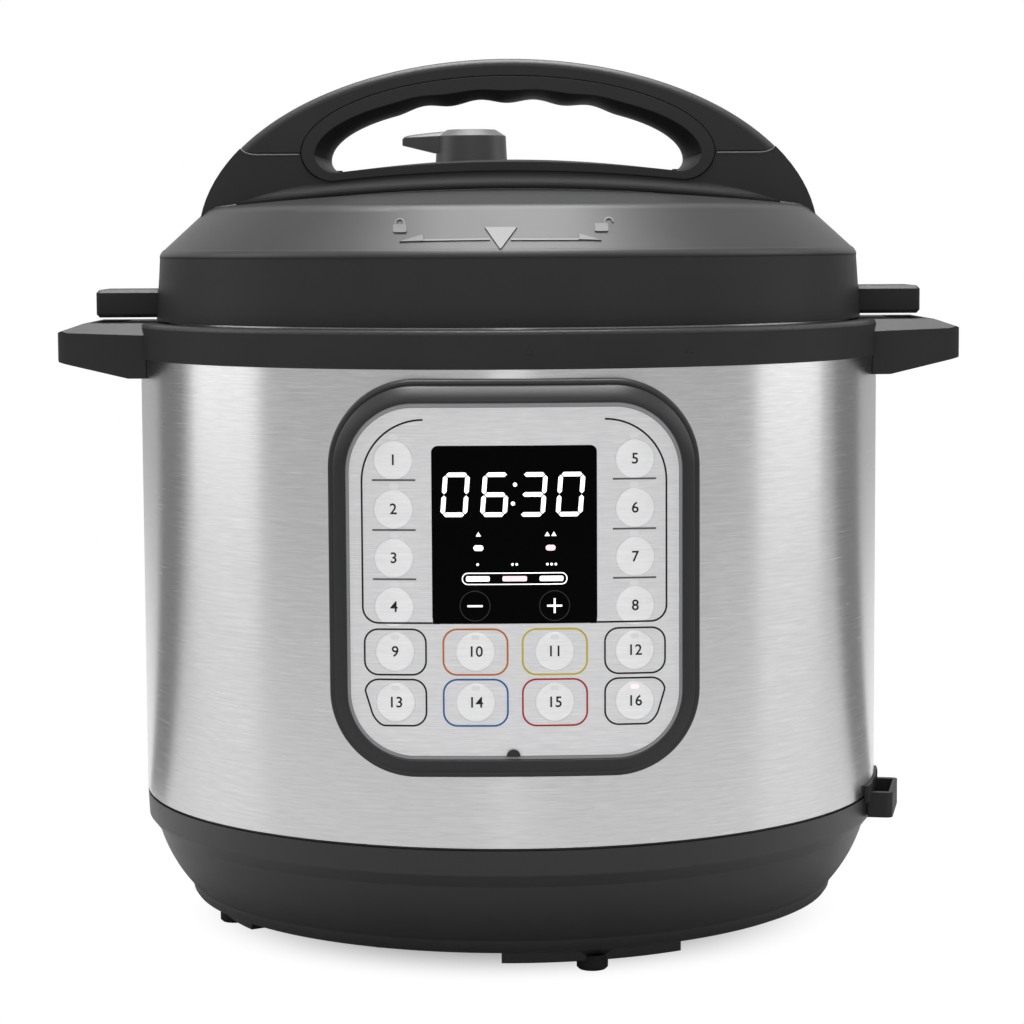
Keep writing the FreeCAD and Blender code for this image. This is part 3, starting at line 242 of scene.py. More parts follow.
# knob: a lighter grey that stands off the handle; on the handle's bead the same grey is a painted highlight
knobPlastic = mouldedPlastic("greyBlackPolypropylene", {
    "color": "5c5c5d", "worn": "646465", "roughness": 0.4, "shine": 0.8, "wallShine": 0.3, "grainMm": 0.4,
    "cloudMm": 20.0, "grainStrength": 0.25, "grainDepthMm": 0.03, "edgeMm": 0.6})
# grip liner: rubbery and dark, with broad lights in its grooves
linerPlastic = mouldedPlastic("softGripElastomer", {
    "color": "29292a", "worn": "2f2f30", "roughness": 0.45, "shine": 0.9, "wallShine": 0.12, "grainMm": 0.4,
    "cloudMm": 20.0, "grainStrength": 0.3, "grainDepthMm": 0.03, "edgeMm": 0.5})
# raised signs: smooth tops, and coloured lighter than the lid they are moulded in as a painted highlight on
# them
signPlastic = mouldedPlastic("polishedPolypropyleneWithPaintedHighlight", {
    "color": "4c4c4d", "worn": "545455", "roughness": 0.34, "shine": 0.74, "wallShine": 0.74, "grainMm": 0.4,
    "cloudMm": 10.0, "grainStrength": 0.05, "grainDepthMm": 0.01, "edgeMm": 0.1})
# handle's flare: dull, and coloured a little darker than the handle as painted shade in its hollow
flarePlastic = mouldedPlastic("mattBlackPolypropyleneWithPaintedShade", {
    "color": "2c2c2d", "worn": "323233", "roughness": 0.5, "shine": 0.2, "wallShine": 0.08, "grainMm": 0.4,
    "cloudMm": 30.0, "grainStrength": 0.35, "grainDepthMm": 0.03, "edgeMm": 0.5})
# lip round the film: a thin pale line
lipPlastic = mouldedPlastic("greyFilmLip", {
    "color": "8e8e8f", "worn": "969697", "roughness": 0.4, "shine": 0.4, "wallShine": 0.4, "grainMm": 0.3,
    "cloudMm": 25.0, "grainStrength": 0.1, "grainDepthMm": 0.01, "edgeMm": 0.1})
# panel frame: satin black with a narrow glint where it leans back
bezelPlastic = mouldedPlastic("satinBlackAbs", {
    "color": "242425", "worn": "2a2a2b", "roughness": 0.34, "shine": 0.6, "wallShine": 0.3, "grainMm": 0.3,
    "cloudMm": 25.0, "grainStrength": 0.15, "grainDepthMm": 0.02, "edgeMm": 0.4})
# feet: dull, with a coarse grain
footRubber = mouldedPlastic("blackRubber", {
    "color": "1b1b1b", "worn": "242423", "roughness": 0.75, "shine": 0.3, "wallShine": 0.3, "grainMm": 0.5,
    "cloudMm": 6.0, "grainStrength": 0.5, "grainDepthMm": 0.05, "edgeMm": 0.3})
# display window: smooth and nearly black, so that only the digits show
windowPlastic = mouldedPlastic("darkDisplayAcrylic", {
    "color": "020202", "worn": "030303", "roughness": 0.16, "shine": 0.03, "wallShine": 0.03, "grainMm": 0.6,
    "cloudMm": 20.0, "grainStrength": 0.02, "grainDepthMm": 0.01, "edgeMm": 0.1})
# circuit boards: dark green with a soft gloss
boardLacquer = mouldedPlastic("greenBoardLacquer", {
    "color": "0f3d22", "worn": "16522f", "roughness": 0.4, "shine": 0.5, "wallShine": 0.5, "grainMm": 1.5,
    "cloudMm": 9.0, "grainStrength": 0.2, "grainDepthMm": 0.05, "edgeMm": 0.1})
# housing: long streaks round the body, which draw the room into upright bands
housingSteel = brushedSteel("brushedStainlessSteel", {
    "light": "d5d5d5", "dark": "c2c2c2", "roughness": 0.25, "metallic": 1.0, "stretch": 0.75, "bump": 0.12,
    "streaksMm": ((30.0, 0.45), (9.0, 0.7))}, around=True)
# panel film: bright silver print under a matt coat
panelFilm = brushedSteel("brushedSilverFilm", {
    "light": "e9e9ea", "dark": "d3d3d5", "roughness": 0.42, "metallic": 0.45, "stretch": 0.0, "bump": 0.08,
    "streaksMm": ((26.0, 0.4), (8.0, 0.6))}, around=False)
# keys: the same film on real domes, coloured a little whiter as a painted highlight on them
keyFilm = brushedSteel("keyFilmWithPaintedHighlight", {
    "light": "f8f8f9", "dark": "ebebec", "roughness": 0.42, "metallic": 0.3, "stretch": 0.0, "bump": 0.05,
    "streaksMm": ((26.0, 0.4), (8.0, 0.6))}, around=False)
# pots and lid plate: turned rings, smoother than the housing
potSteel = brushedSteel("spunStainlessSteel", {
    "light": "d8d7d5", "dark": "c8c7c5", "roughness": 0.22, "metallic": 1.0, "stretch": 0.6, "bump": 0.08,
    "streaksMm": ((60.0, 0.5), (15.0, 0.9))}, around=True)
# brackets: dull grey sheet
plainSteel = plainMetal("pressedSteel", {
    "light": "bdbdbb", "dark": "a5a5a3", "roughness": 0.38, "mottleMm": 5.0})
# screws: brighter and smoother than the sheet
screwSteel = plainMetal("platedScrewSteel", {
    "light": "cfcfcc", "dark": "b4b4b1", "roughness": 0.25, "mottleMm": 2.0})
# heating plate: pale and rough
castAluminium = plainMetal("castAluminium", {
    "light": "c2c2c0", "dark": "a8a8a6", "roughness": 0.45, "mottleMm": 3.0})
# seals: milky white, with light passing at the edges
silicone = clearMoulding("milkySilicone", {
    "light": "e6e7e4", "dark": "dadbd8", "roughness": 0.5, "ior": 1.41, "clear": 0.25, "hazeMm": 12.0})
# drip cup: clear with a grey cast
smokyStyrene = clearMoulding("smokyClearStyrene", {
    "light": "d9dde0", "dark": "c8ced2", "roughness": 0.12, "ior": 1.58, "clear": 0.85, "hazeMm": 30.0})
# prints: flat and even
blackInk = printedInk("blackInk", "0b0b0c")
greyInk = printedInk("greyInk", "58585a")
dimInk = printedInk("dimRingInk", "222223")
orangeInk = printedInk("orangeInk", "c06a1c")
yellowInk = printedInk("yellowInk", "c8b420")
blueInk = printedInk("blueInk", "1d5c9c")
redInk = printedInk("redInk", "ae101c")
# lit segments and lamp lenses
whiteLamp = printedInk("litWhiteSegment", "ffffff", glow=1.0)
roseLamp = printedInk("litRoseLamp", "f6cfd4", glow=0.7)
paleLens = printedInk("paleLampLens", "e8e8e9")
print("materials ready")

slotMaterials = {
    "black_plastic": blackPlastic, "bezel_plastic": bezelPlastic, "brushed_steel": housingSteel,
    "pot_steel": potSteel, "plain_steel": plainSteel, "screw_steel": screwSteel,
    "cast_aluminium": castAluminium, "foot_rubber": footRubber, "silicone": silicone,
    "silver_film": panelFilm, "display_plastic": windowPlastic, "circuit_board": boardLacquer,
    "clear_plastic": smokyStyrene,
}
nodeMaterials = {
    "base_bowl": basePlastic, "steam_release_handle": knobPlastic, "handle_grip_liner": linerPlastic,
}
for subpart in frame["record"]["subparts"]:
    node = frame["nodes"][subpart["node"]]
    node.data.materials.clear()
    node.data.materials.append(nodeMaterials.get(subpart["node"], slotMaterials[subpart["material_slot"]]))


# Shapes that lie on the curved panel face or on the lid's sloping facet

panelFace = {"radius": 400 * mm, "front": 143.6 * mm, "recess": 1.4 * mm}
inkLow, inkHigh = -0.05 * mm, 0.03 * mm  # a print reaches from just under the film to just above it


def onPanel(x, z, lift):
    reach = panelFace["radius"] - panelFace["recess"] + lift
    return Vector((x, panelFace["radius"] - panelFace["front"] - math.sqrt(reach ** 2 - x ** 2), z))


lidFacet = {"radius": 128.9 * mm, "foot": 250.6 * mm, "lean": 14.3 / 13.0}


def onFacet(x, z, lift):
    radius = lidFacet["radius"] - (z - lidFacet["foot"]) * lidFacet["lean"]
    y = -math.sqrt(radius ** 2 - x ** 2)
    slope = math.hypot(1.0, lidFacet["lean"])
    outwards = lift / radius / slope
    return Vector((x + outwards * x, y + outwards * y, z + lift * lidFacet["lean"] / slope))


def thickLoop(mesh, inner, outer, place, low, high, closed, slot):
    rows = []
    for a, b in zip(inner, outer):
        rows.append([mesh.verts.new(place(*a, high)), mesh.verts.new(place(*b, high)),
                     mesh.verts.new(place(*b, low)), mesh.verts.new(place(*a, low))])
    count = len(rows)
    faces = []
    for i in range(count if closed else count - 1):
        here, there = rows[i], rows[(i + 1) % count]
        for k in range(4):
            faces.append((here[k], here[(k + 1) % 4], there[(k + 1) % 4], there[k]))
    if not closed:
        faces.append(tuple(rows[0]))
        faces.append(tuple(reversed(rows[-1])))
    for face in faces:
        mesh.faces.new(face).material_index = slot


# A line of even width along points (x, z)
def addLine(mesh, points, width, place, low, high, closed=False, slot=0):
    inner, outer = [], []
    count = len(points)
    for i, (x, z) in enumerate(points):
        before = points[i - 1] if closed or i else points[i]
        after = points[(i + 1) % count] if closed or i < count - 1 else points[i]
        dx, dz = after[0] - before[0], after[1] - before[1]
        size = math.hypot(dx, dz)
        sx, sz = -dz / size * width / 2, dx / size * width / 2
        inner.append((x + sx, z + sz))
        outer.append((x - sx, z - sz))
    thickLoop(mesh, inner, outer, place, low, high, closed, slot)


# A filled patch with a convex outline
def addPatch(mesh, points, place, low, high, slot=0):
    top = [mesh.verts.new(place(x, z, high)) for x, z in points]
    under = [mesh.verts.new(place(x, z, low)) for x, z in points]
    mesh.faces.new(top).material_index = slot
    mesh.faces.new(list(reversed(under))).material_index = slot
    for i in range(len(points)):
        k = (i + 1) % len(points)
        mesh.faces.new((top[k], top[i], under[i], under[k])).material_index = slot


def arcPoints(cx, cz, radius, start, end, steps):
    angles = [math.radians(start + (end - start) * i / steps) for i in range(steps + 1)]
    return [(cx + radius * math.cos(a), cz + radius * math.sin(a)) for a in angles]


def denser(points, step=2.0 * mm, closed=False):
    result = []
    pairs = list(zip(points, points[1:] + points[:1])) if closed else list(zip(points, points[1:]))
    for a, b in pairs:
        parts = max(1, int(math.dist(a, b) / step))
        result += [(a[0] + (b[0] - a[0]) * i / parts, a[1] + (b[1] - a[1]) * i / parts) for i in range(parts)]
    return result if closed else result + [points[-1]]


def roundedBox(lowX, highX, lowZ, highZ, radius, steps=8):
    corners = ((highX - radius, highZ - radius, 0), (lowX + radius, highZ - radius, 90),
               (lowX + radius, lowZ + radius, 180), (highX - radius, lowZ + radius, 270))
    points = []
    for cx, cz, start in corners:
        points += arcPoints(cx, cz, radius, start, start + 90, steps)
    return points


# Skin over neighbouring loops of equal length: it closes on itself, or has both ends capped
def addSkin(mesh, loops, smoothRows, closed=False):
    count = len(loops[0])
    for here, there in zip(loops, loops[1:] + (loops[:1] if closed else [])):
        for i in range(count):
            n = (i + 1) % count
            mesh.faces.new((here[i], there[i], there[n], here[n])).smooth = i in smoothRows
    if not closed:
        mesh.faces.new(loops[0])
        mesh.faces.new(list(reversed(loops[-1])))


def finishPiece(name, mesh, materials, body):
    bmesh.ops.remove_doubles(mesh, verts=mesh.verts, dist=1e-7)
    bmesh.ops.recalc_face_normals(mesh, faces=mesh.faces)
    data = bpy.data.meshes.new(name)
    mesh.to_mesh(data)
    mesh.free()
    for material in materials:
        data.materials.append(material)
    piece = bpy.data.objects.new(name, data)
    scene.collection.objects.link(piece)
    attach(piece, body)
    return piece


numberFont = {"digitShare": 0.73, "weight": 0.016, "steps": 3}


# Numbers are drawn with the built-in font and laid on the surface
def addNumber(mesh, text, cx, cz, height, place, low, high, slot=0):
    curve = bpy.data.curves.new("number", "FONT")
    curve.body = text
    curve.align_x = "CENTER"
    curve.align_y = "CENTER"
    curve.size = height / numberFont["digitShare"]
    curve.resolution_u = numberFont["steps"]
    curve.offset = numberFont["weight"] * height
    maker = bpy.data.objects.new("number", curve)
    scene.collection.objects.link(maker)
    shape = bpy.data.meshes.new_from_object(maker.evaluated_get(bpy.context.evaluated_depsgraph_get()))
    scratch = bmesh.new()
    scratch.from_mesh(shape)
    bmesh.ops.remove_doubles(scratch, verts=scratch.verts, dist=1e-6)
    top = {v: mesh.verts.new(place(cx + v.co.x, cz + v.co.y, high)) for v in scratch.verts}
    under = {v: mesh.verts.new(place(cx + v.co.x, cz + v.co.y, low)) for v in scratch.verts}
    for face in scratch.faces:
        mesh.faces.new([top[v] for v in face.verts]).material_index = slot
        mesh.faces.new([under[v] for v in reversed(face.verts)]).material_index = slot
    for edge in scratch.edges:
        if edge.is_boundary:
            a, b = edge.verts
            mesh.faces.new((top[a], top[b], under[b], under[a])).material_index = slot
    scratch.free()
    bpy.data.objects.remove(maker)
    bpy.data.meshes.remove(shape)
    bpy.data.curves.remove(curve)


# Printed lines on the silver film

printLines = {
    "halfWidth": 50.7 * mm, "top": 194.6 * mm, "bottom": 126.8 * mm, "topRadius": 20.5 * mm,
    "bottomRadius": 5.3 * mm, "gapLeft": -30.6 * mm, "gapRight": 31.4 * mm, "windowHalf": 27.4 * mm,
    "width": 0.62 * mm,
}


def buildPrintedFrame(look):
    mesh = bmesh.new()
    half, top, bottom = look["halfWidth"], look["top"], look["bottom"]
    wide, tight = look["topRadius"], look["bottomRadius"]
    for side, gap in ((-1, look["gapLeft"]), (1, look["gapRight"])):
        bend = arcPoints(half - wide, top - wide, wide, 90, 0, 20)
        foot = arcPoints(half - tight, bottom + tight, tight, 0, -90, 8)
        path = [(abs(gap), top)] + bend + foot + [(look["windowHalf"], bottom)]
        path = denser([(side * x, z) for x, z in path])
        addLine(mesh, path, look["width"], onPanel, inkLow, inkHigh)
    return finishPiece("printedFrame", mesh, [blackInk], "base")


keyFrames = {
    "columns": ((-50.2, -29.7), (-23.9, -2.5), (2.5, 24.0), (30.0, 50.2)),
    "rows": ((109.4, 124.7), (92.2, 107.8)),
    "inks": ((0, 1, 2, 0), (0, 3, 4, 0)),
    "radius": 4.6, "width": 0.6, "cutX": 3.6, "cutZ": 12.0, "cutReach": 12.0,
}


def buildKeyFrames(look):
    mesh = bmesh.new()
    for row, (lowZ, highZ) in enumerate(look["rows"]):
        for column, (lowX, highX) in enumerate(look["columns"]):
            points = roundedBox(lowX, highX, lowZ, highZ, look["radius"])
            if row == 1 and column in (0, 3):
                # the outer lower corners lean in, because the panel's corner is round there
                moved = []
                for x, z in points:
                    fall = max(0.0, 1 - (z - lowZ) / look["cutZ"])
                    edge = max(0.0, 1 - abs(x - (lowX if column == 0 else highX)) / look["cutReach"])
                    moved.append((x + (1 if column == 0 else -1) * look["cutX"] * fall * edge, z))
                points = moved
            points = denser([(x * mm, z * mm) for x, z in points], closed=True)
            ink = look["inks"][row][column]
            addLine(mesh, points, look["width"] * mm, onPanel, inkLow, inkHigh, True, ink)
    inks = [blackInk, orangeInk, yellowInk, blueInk, redInk]
    return finishPiece("keyFrames", mesh, inks, "base")


buildPrintedFrame(printLines)
buildKeyFrames(keyFrames)
print("printed lines ready")


# Film bubbles over the keys, each with a plain number

keyLook = {
    "bubble": {"radius": 6.57, "rise": 0.38, "number": 3.7, "numberSink": 0.1},
    "sideX": 40.2, "sideTop": 181.2, "sidePitch": 16.35,
    "lowerX": (-40.0, -13.2, 13.2, 40.0), "lowerZ": (117.1, 100.0),
    "rings": 10, "spokes": 56, "thickness": 2.0, "lamp": (2.8, 1.5, 0.6), "lampRise": 4.9,
}


bubblePower = 2.4  # a broad crown that falls away near the edge


def bubbleLift(distance, radius, rise):
    return rise * (0.5 + 0.5 * math.cos(math.pi * min(1.0, distance / radius) ** bubblePower))


def addBubble(mesh, cx, cz, radius, rise, thickness, rings, spokes):
    loops = []
    for ring in range(1, rings + 1):
        share = ring / rings
        lift = bubbleLift(share, 1.0, rise)
        loops.append([mesh.verts.new(onPanel(
            cx + radius * share * math.cos(2 * math.pi * k / spokes),
            cz + radius * share * math.sin(2 * math.pi * k / spokes), lift)) for k in range(spokes)])
    loops.append([mesh.verts.new(onPanel(
        cx + radius * math.cos(2 * math.pi * k / spokes),
        cz + radius * math.sin(2 * math.pi * k / spokes), -thickness)) for k in range(spokes)])
    crown = mesh.verts.new(onPanel(cx, cz, rise))
    root = mesh.verts.new(onPanel(cx, cz, -thickness))
    for k in range(spokes):
        n = (k + 1) % spokes
        mesh.faces.new((crown, loops[0][k], loops[0][n])).smooth = True
        for a, b in zip(loops, loops[1:]):
            mesh.faces.new((a[k], b[k], b[n], a[n])).smooth = b is not loops[-1]
        mesh.faces.new((root, loops[-1][n], loops[-1][k]))


def buildKey(node, number, x, z, look, line=None, lamp=None):
    mesh = bmesh.new()
    shape = look["bubble"]
    addBubble(mesh, x * mm, z * mm, shape["radius"] * mm, shape["rise"] * mm, look["thickness"] * mm,
              look["rings"], look["spokes"])

    def onBubble(px, pz, lift):
        distance = math.hypot(px - x * mm, pz - z * mm)
        return onPanel(px, pz, lift + bubbleLift(distance, shape["radius"] * mm, shape["rise"] * mm))

    addNumber(mesh, number, x * mm, z * mm, shape["number"] * mm, onBubble,
              -shape["numberSink"] * mm, inkHigh, 1)
    if line:
        half = math.sqrt(shape["radius"] ** 2 - (z - line) ** 2)
        path = denser([((x - half) * mm, line * mm), ((x + half) * mm, line * mm)], 0.5 * mm)
        addLine(mesh, path, printLines["width"], onBubble, inkLow, inkHigh, slot=1)
    if lamp is not None:
        wide, high, corner = look["lamp"]
        middle = z + look["lampRise"]
        box = roundedBox((x - wide / 2) * mm, (x + wide / 2) * mm,
                         (middle - high / 2) * mm, (middle + high / 2) * mm, corner * mm, 4)
        addPatch(mesh, box, onBubble, inkLow, inkHigh, 2)
    # the key film's whiter tone is a painted highlight on the bubble
    materials = [keyFilm, blackInk, lamp or paleLens]
    piece = finishPiece(node + "Bubble", mesh, materials, node)
    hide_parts(node)


for row in range(4):
    z = keyLook["sideTop"] - row * keyLook["sidePitch"]
    line = printLines["bottom"] / mm if row == 3 else None
    buildKey(f"left_key_{row + 1}", str(row + 1), -keyLook["sideX"], z, keyLook, line)
    buildKey(f"right_key_{row + 1}", str(row + 5), keyLook["sideX"], z, keyLook, line)
for row, z in enumerate(keyLook["lowerZ"]):
    for column, x in enumerate(keyLook["lowerX"]):
        place = row * 4 + column + 1
        lamp = roseLamp if place == 8 else paleLens  # only the last key's lamp is lit
        buildKey(f"lower_key_{place}", str(place + 8), x, z, keyLook, lamp=lamp)
print("keys ready")


# Display: slanted seven-segment digits, colon, lamps and a level bar behind the dark window

displayLook = {
    "digits": "06:30", "places": (-19.6, -6.4, 6.2, 18.7), "low": 162.3, "high": 177.1, "width": 7.4,
    "slant": 0.08, "bar": 1.5, "gap": 0.22, "colon": ((0.27, 173.0), (-0.45, 166.7)), "colonRadius": 0.7,
    "pills": ((-12.0, 151.9), (12.0, 151.9)), "pillSize": (3.3, 1.9), "endRound": 0.98,
    "level": (-17.4, 17.4, 139.75, 143.5), "levelLine": 0.34,
    "steps": ((-16.2, -8.3), (-4.1, 4.1), (8.3, 16.2)), "stepHeight": 1.75, "stepCorner": 0.5,
    "pointMarks": {"z": 156.3, "x": (-12.0, 10.9, 13.1), "reach": 1.0, "corners": 3},
    "dotMarks": {"z": 146.4, "x": (-12.3, -0.7, 0.7, 10.9, 12.3, 13.7), "reach": 0.45, "corners": 12},
}
litLow, litHigh = -0.03 * mm, 0.03 * mm  # lit shapes, from just under the window's face to just above it
segmentsOf = {
    "0": "abcdef", "1": "bc", "2": "abged", "3": "abgcd", "4": "fgbc",
    "5": "afgcd", "6": "afgedc", "7": "abc", "8": "abcdefg", "9": "abcdfg",
}


def addDigit(mesh, digit, cx, look):
    half, low, high = look["width"] / 2, look["low"], look["high"]
    middle, bar, gap = (low + high) / 2, look["bar"] / 2, look["gap"]
    ends = {
        "a": ((-half, high - bar), (half, high - bar)), "g": ((-half, middle), (half, middle)),
        "d": ((-half, low + bar), (half, low + bar)), "f": ((-half, middle), (-half, high - bar)),
        "b": ((half, middle), (half, high - bar)), "e": ((-half, low + bar), (-half, middle)),
        "c": ((half, low + bar), (half, middle)),
    }
    for name in segmentsOf[digit]:
        (ax, az), (bx, bz) = ends[name]
        size = math.hypot(bx - ax, bz - az)
        ux, uz = (bx - ax) / size, (bz - az) / size
        outline = []
        for along, across in ((gap, 0), (gap + bar, bar), (size - gap - bar, bar), (size - gap, 0),
                              (size - gap - bar, -bar), (gap + bar, -bar)):
            x, z = ax + ux * along - uz * across, az + uz * along + ux * across
            outline.append(((cx + x + (z - middle) * look["slant"]) * mm, z * mm))
        addPatch(mesh, outline, onPanel, litLow, litHigh)


def buildDisplay(look):
    mesh = bmesh.new()
    for digit, x in zip(look["digits"].replace(":", ""), look["places"]):
        addDigit(mesh, digit, x, look)
    for x, z in look["colon"]:
        dot = arcPoints(x * mm, z * mm, look["colonRadius"] * mm, 0, 345, 23)
        addPatch(mesh, dot, onPanel, litLow, litHigh)
    finishPiece("displayDigits", mesh, [whiteLamp], "base")
    mesh = bmesh.new()
    wide, high = (v / 2 for v in look["pillSize"])
    for slot, (x, z) in enumerate(look["pills"]):
        pill = roundedBox((x - wide) * mm, (x + wide) * mm, (z - high) * mm, (z + high) * mm,
                          high * look["endRound"] * mm)
        addPatch(mesh, pill, onPanel, litLow, litHigh, slot)
    lowX, highX, lowZ, highZ = (v * mm for v in look["level"])
    levelBox = roundedBox(lowX, highX, lowZ, highZ, (highZ - lowZ) / 2 * look["endRound"])
    addLine(mesh, denser(levelBox, closed=True), look["levelLine"] * mm, onPanel, litLow, litHigh, True)
    middle, half = (lowZ + highZ) / 2, look["stepHeight"] / 2 * mm
    for number, (a, b) in enumerate(look["steps"]):
        step = roundedBox(a * mm, b * mm, middle - half, middle + half, look["stepCorner"] * mm, 3)
        addPatch(mesh, step, onPanel, litLow, litHigh, 1 if number == 1 else 0)
    for marks in (look["pointMarks"], look["dotMarks"]):
        last = 90 + 360 - 360 / marks["corners"]
        for x in marks["x"]:
            mark = arcPoints(x * mm, marks["z"] * mm, marks["reach"] * mm, 90, last, marks["corners"] - 1)
            addPatch(mesh, mark, onPanel, litLow, litHigh)
    finishPiece("displayLamps", mesh, [whiteLamp, roseLamp], "base")


# Minus and plus at the foot of the window, each with a faint ring round it
signKeys = {
    "x": 13.25, "z": 132.5, "bubble": (5.27, 0.12, 2.0), "rings": 6, "spokes": 56, "half": 2.5, "line": 0.62,
    "low": 0.04, "high": 0.16, "cross": 0.01, "ring": 5.0, "ringLine": 0.28, "ringLift": 0.05,
}


def buildSignKey(node, upright, side, look):
    mesh = bmesh.new()
    cx, cz = side * look["x"] * mm, look["z"] * mm
    radius, rise, thickness = (size * mm for size in look["bubble"])
    addBubble(mesh, cx, cz, radius, rise, thickness, look["rings"], look["spokes"])
    low, high, half = (look[name] * mm for name in ("low", "high", "half"))
    width = look["line"] * mm
    addLine(mesh, [(cx - half, cz), (cx + half, cz)], width, onPanel, low, high, slot=1)
    if upright:
        over = high + look["cross"] * mm
        addLine(mesh, [(cx, cz - half), (cx, cz + half)], width, onPanel, low, over, slot=1)
    ring = arcPoints(cx, cz, look["ring"] * mm, 0, 354, 59)
    addLine(mesh, ring, look["ringLine"] * mm, onPanel, inkLow, look["ringLift"] * mm, True, 2)
    piece = finishPiece(node + "Bubble", mesh, [windowPlastic, whiteLamp, dimInk], node)
    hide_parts(node)


buildDisplay(displayLook)
buildSignKey("minus_key", False, -1, signKeys)
buildSignKey("plus_key", True, 1, signKeys)
print("display ready")


# Repeats: lamp lenses and dividing strokes on the film, set on points by a node tree

panelTabs = {
    "lens": {"size": (3.1, 1.9, 0.9), "x": 39.9, "aboveKey": 7.75},
    "stroke": {"size": (14.6, 0.6, 0.25), "x": 40.0, "heights": (174.6, 157.95, 141.5)},
    "thickness": 0.08, "sink": 0.04,
}


def buildTabTree(name):
    tree = bpy.data.node_groups.new(name, "GeometryNodeTree")
    tree.interface.new_socket("Geometry", in_out="INPUT", socket_type="NodeSocketGeometry")
    for title in ("Width", "Height", "Corner", "Thickness"):
        tree.interface.new_socket(title, in_out="INPUT", socket_type="NodeSocketFloat")
    tree.interface.new_socket("Finish", in_out="INPUT", socket_type="NodeSocketMaterial")
    tree.interface.new_socket("Geometry", in_out="OUTPUT", socket_type="NodeSocketGeometry")
    source = addNode(tree, "NodeGroupInput")
    loop = addNode(tree, "GeometryNodeCurvePrimitiveQuadrilateral", feeds={
        "Width": source.outputs["Width"], "Height": source.outputs["Height"]})
    rounded = addNode(tree, "GeometryNodeFilletCurve", {"mode": "POLY"}, {
        "Curve": loop.outputs["Curve"], "Count": 5, "Radius": source.outputs["Corner"]})
    filled = addNode(tree, "GeometryNodeFillCurve", {"mode": "NGONS"}, {"Curve": rounded.outputs["Curve"]})
    under = addNode(tree, "GeometryNodeFlipFaces", feeds={"Mesh": filled.outputs["Mesh"]})
    raised = addNode(tree, "GeometryNodeExtrudeMesh", {"mode": "FACES"}, {
        "Mesh": filled.outputs["Mesh"], "Offset Scale": source.outputs["Thickness"], "Individual": False})
    closed = addNode(tree, "GeometryNodeJoinGeometry")
    tree.links.new(raised.outputs["Mesh"], closed.inputs["Geometry"])
    tree.links.new(under.outputs["Mesh"], closed.inputs["Geometry"])
    welded = addNode(tree, "GeometryNodeMergeByDistance", feeds={
        "Geometry": closed.outputs["Geometry"], "Distance": 1e-6})
    turn = addNode(tree, "GeometryNodeInputNamedAttribute", {"data_type": "FLOAT"}, {"Name": "turn"})
    facing = addNode(tree, "ShaderNodeCombineXYZ", feeds={"X": math.pi / 2, "Z": turn.outputs["Attribute"]})
    copies = addNode(tree, "GeometryNodeInstanceOnPoints", feeds={
        "Points": source.outputs["Geometry"], "Instance": welded.outputs["Geometry"],
        "Rotation": facing.outputs["Vector"]})
    real = addNode(tree, "GeometryNodeRealizeInstances", feeds={"Geometry": copies.outputs["Instances"]})
    painted = addNode(tree, "GeometryNodeSetMaterial", feeds={
        "Geometry": real.outputs["Geometry"], "Material": source.outputs["Finish"]})
    addNode(tree, "NodeGroupOutput", feeds={"Geometry": painted.outputs["Geometry"]})
    return tree


def tabsOnPanel(name, tree, places, size, finish):
    data = bpy.data.meshes.new(name + "Points")
    data.from_pydata([onPanel(x * mm, z * mm, -panelTabs["sink"] * mm) for x, z in places], [], [])
    turns = data.attributes.new("turn", "FLOAT", "POINT")
    for i, (x, z) in enumerate(places):
        turns.data[i].value = math.asin(x * mm / panelFace["radius"])
    maker = bpy.data.objects.new(name + "Points", data)
    scene.collection.objects.link(maker)
    modifier = maker.modifiers.new("tabs", "NODES")
    modifier.node_group = tree
    inputs = {item.name: item.identifier for item in tree.interface.items_tree if item.in_out == "INPUT"}
    for title, value in zip(("Width", "Height", "Corner", "Thickness"), size + (panelTabs["thickness"],)):
        modifier[inputs[title]] = value * mm
    modifier[inputs["Finish"]] = finish
    result = bpy.data.meshes.new_from_object(maker.evaluated_get(bpy.context.evaluated_depsgraph_get()))
    maker.modifiers.clear()
    bpy.data.objects.remove(maker)
    mesh = bmesh.new()
    mesh.from_mesh(result)
    bpy.data.meshes.remove(result)
    return finishPiece(name, mesh, [finish], "base")


tabs = buildTabTree("panelTabs")
lens, stroke = panelTabs["lens"], panelTabs["stroke"]
sideRows = [keyLook["sideTop"] - row * keyLook["sidePitch"] for row in range(4)]
lensPlaces = [(side * lens["x"], z + lens["aboveKey"]) for side in (-1, 1) for z in sideRows]
strokePlaces = [(side * stroke["x"], z) for side in (-1, 1) for z in stroke["heights"]]
tabsOnPanel("sideLampLenses", tabs, lensPlaces, lens["size"], paleLens)
tabsOnPanel("dividingStrokes", tabs, strokePlaces, stroke["size"], greyInk)
print("lenses and strokes ready")


# Raised signs on the lid's facet: a pointer and a double arrow with half heads

lidSigns = {
    "shift": -1.5, "pointer": ((-7.6, 257.8), (3.2, 257.8), (-2.5, 250.4)),
    "leftHead": ((-36.3, 253.2), (-28.3, 253.4), (-28.3, 255.5)),
    "rightHead": ((23.9, 255.5), (23.9, 253.6), (31.5, 253.3)),
    "shafts": (((-28.3, 253.7), (-6.0, 253.9)), ((1.0, 253.8), (23.9, 253.7))), "shaftWidth": 0.55,
    "shaftShare": 0.7, "sink": 0.3, "lift": 0.45,
}


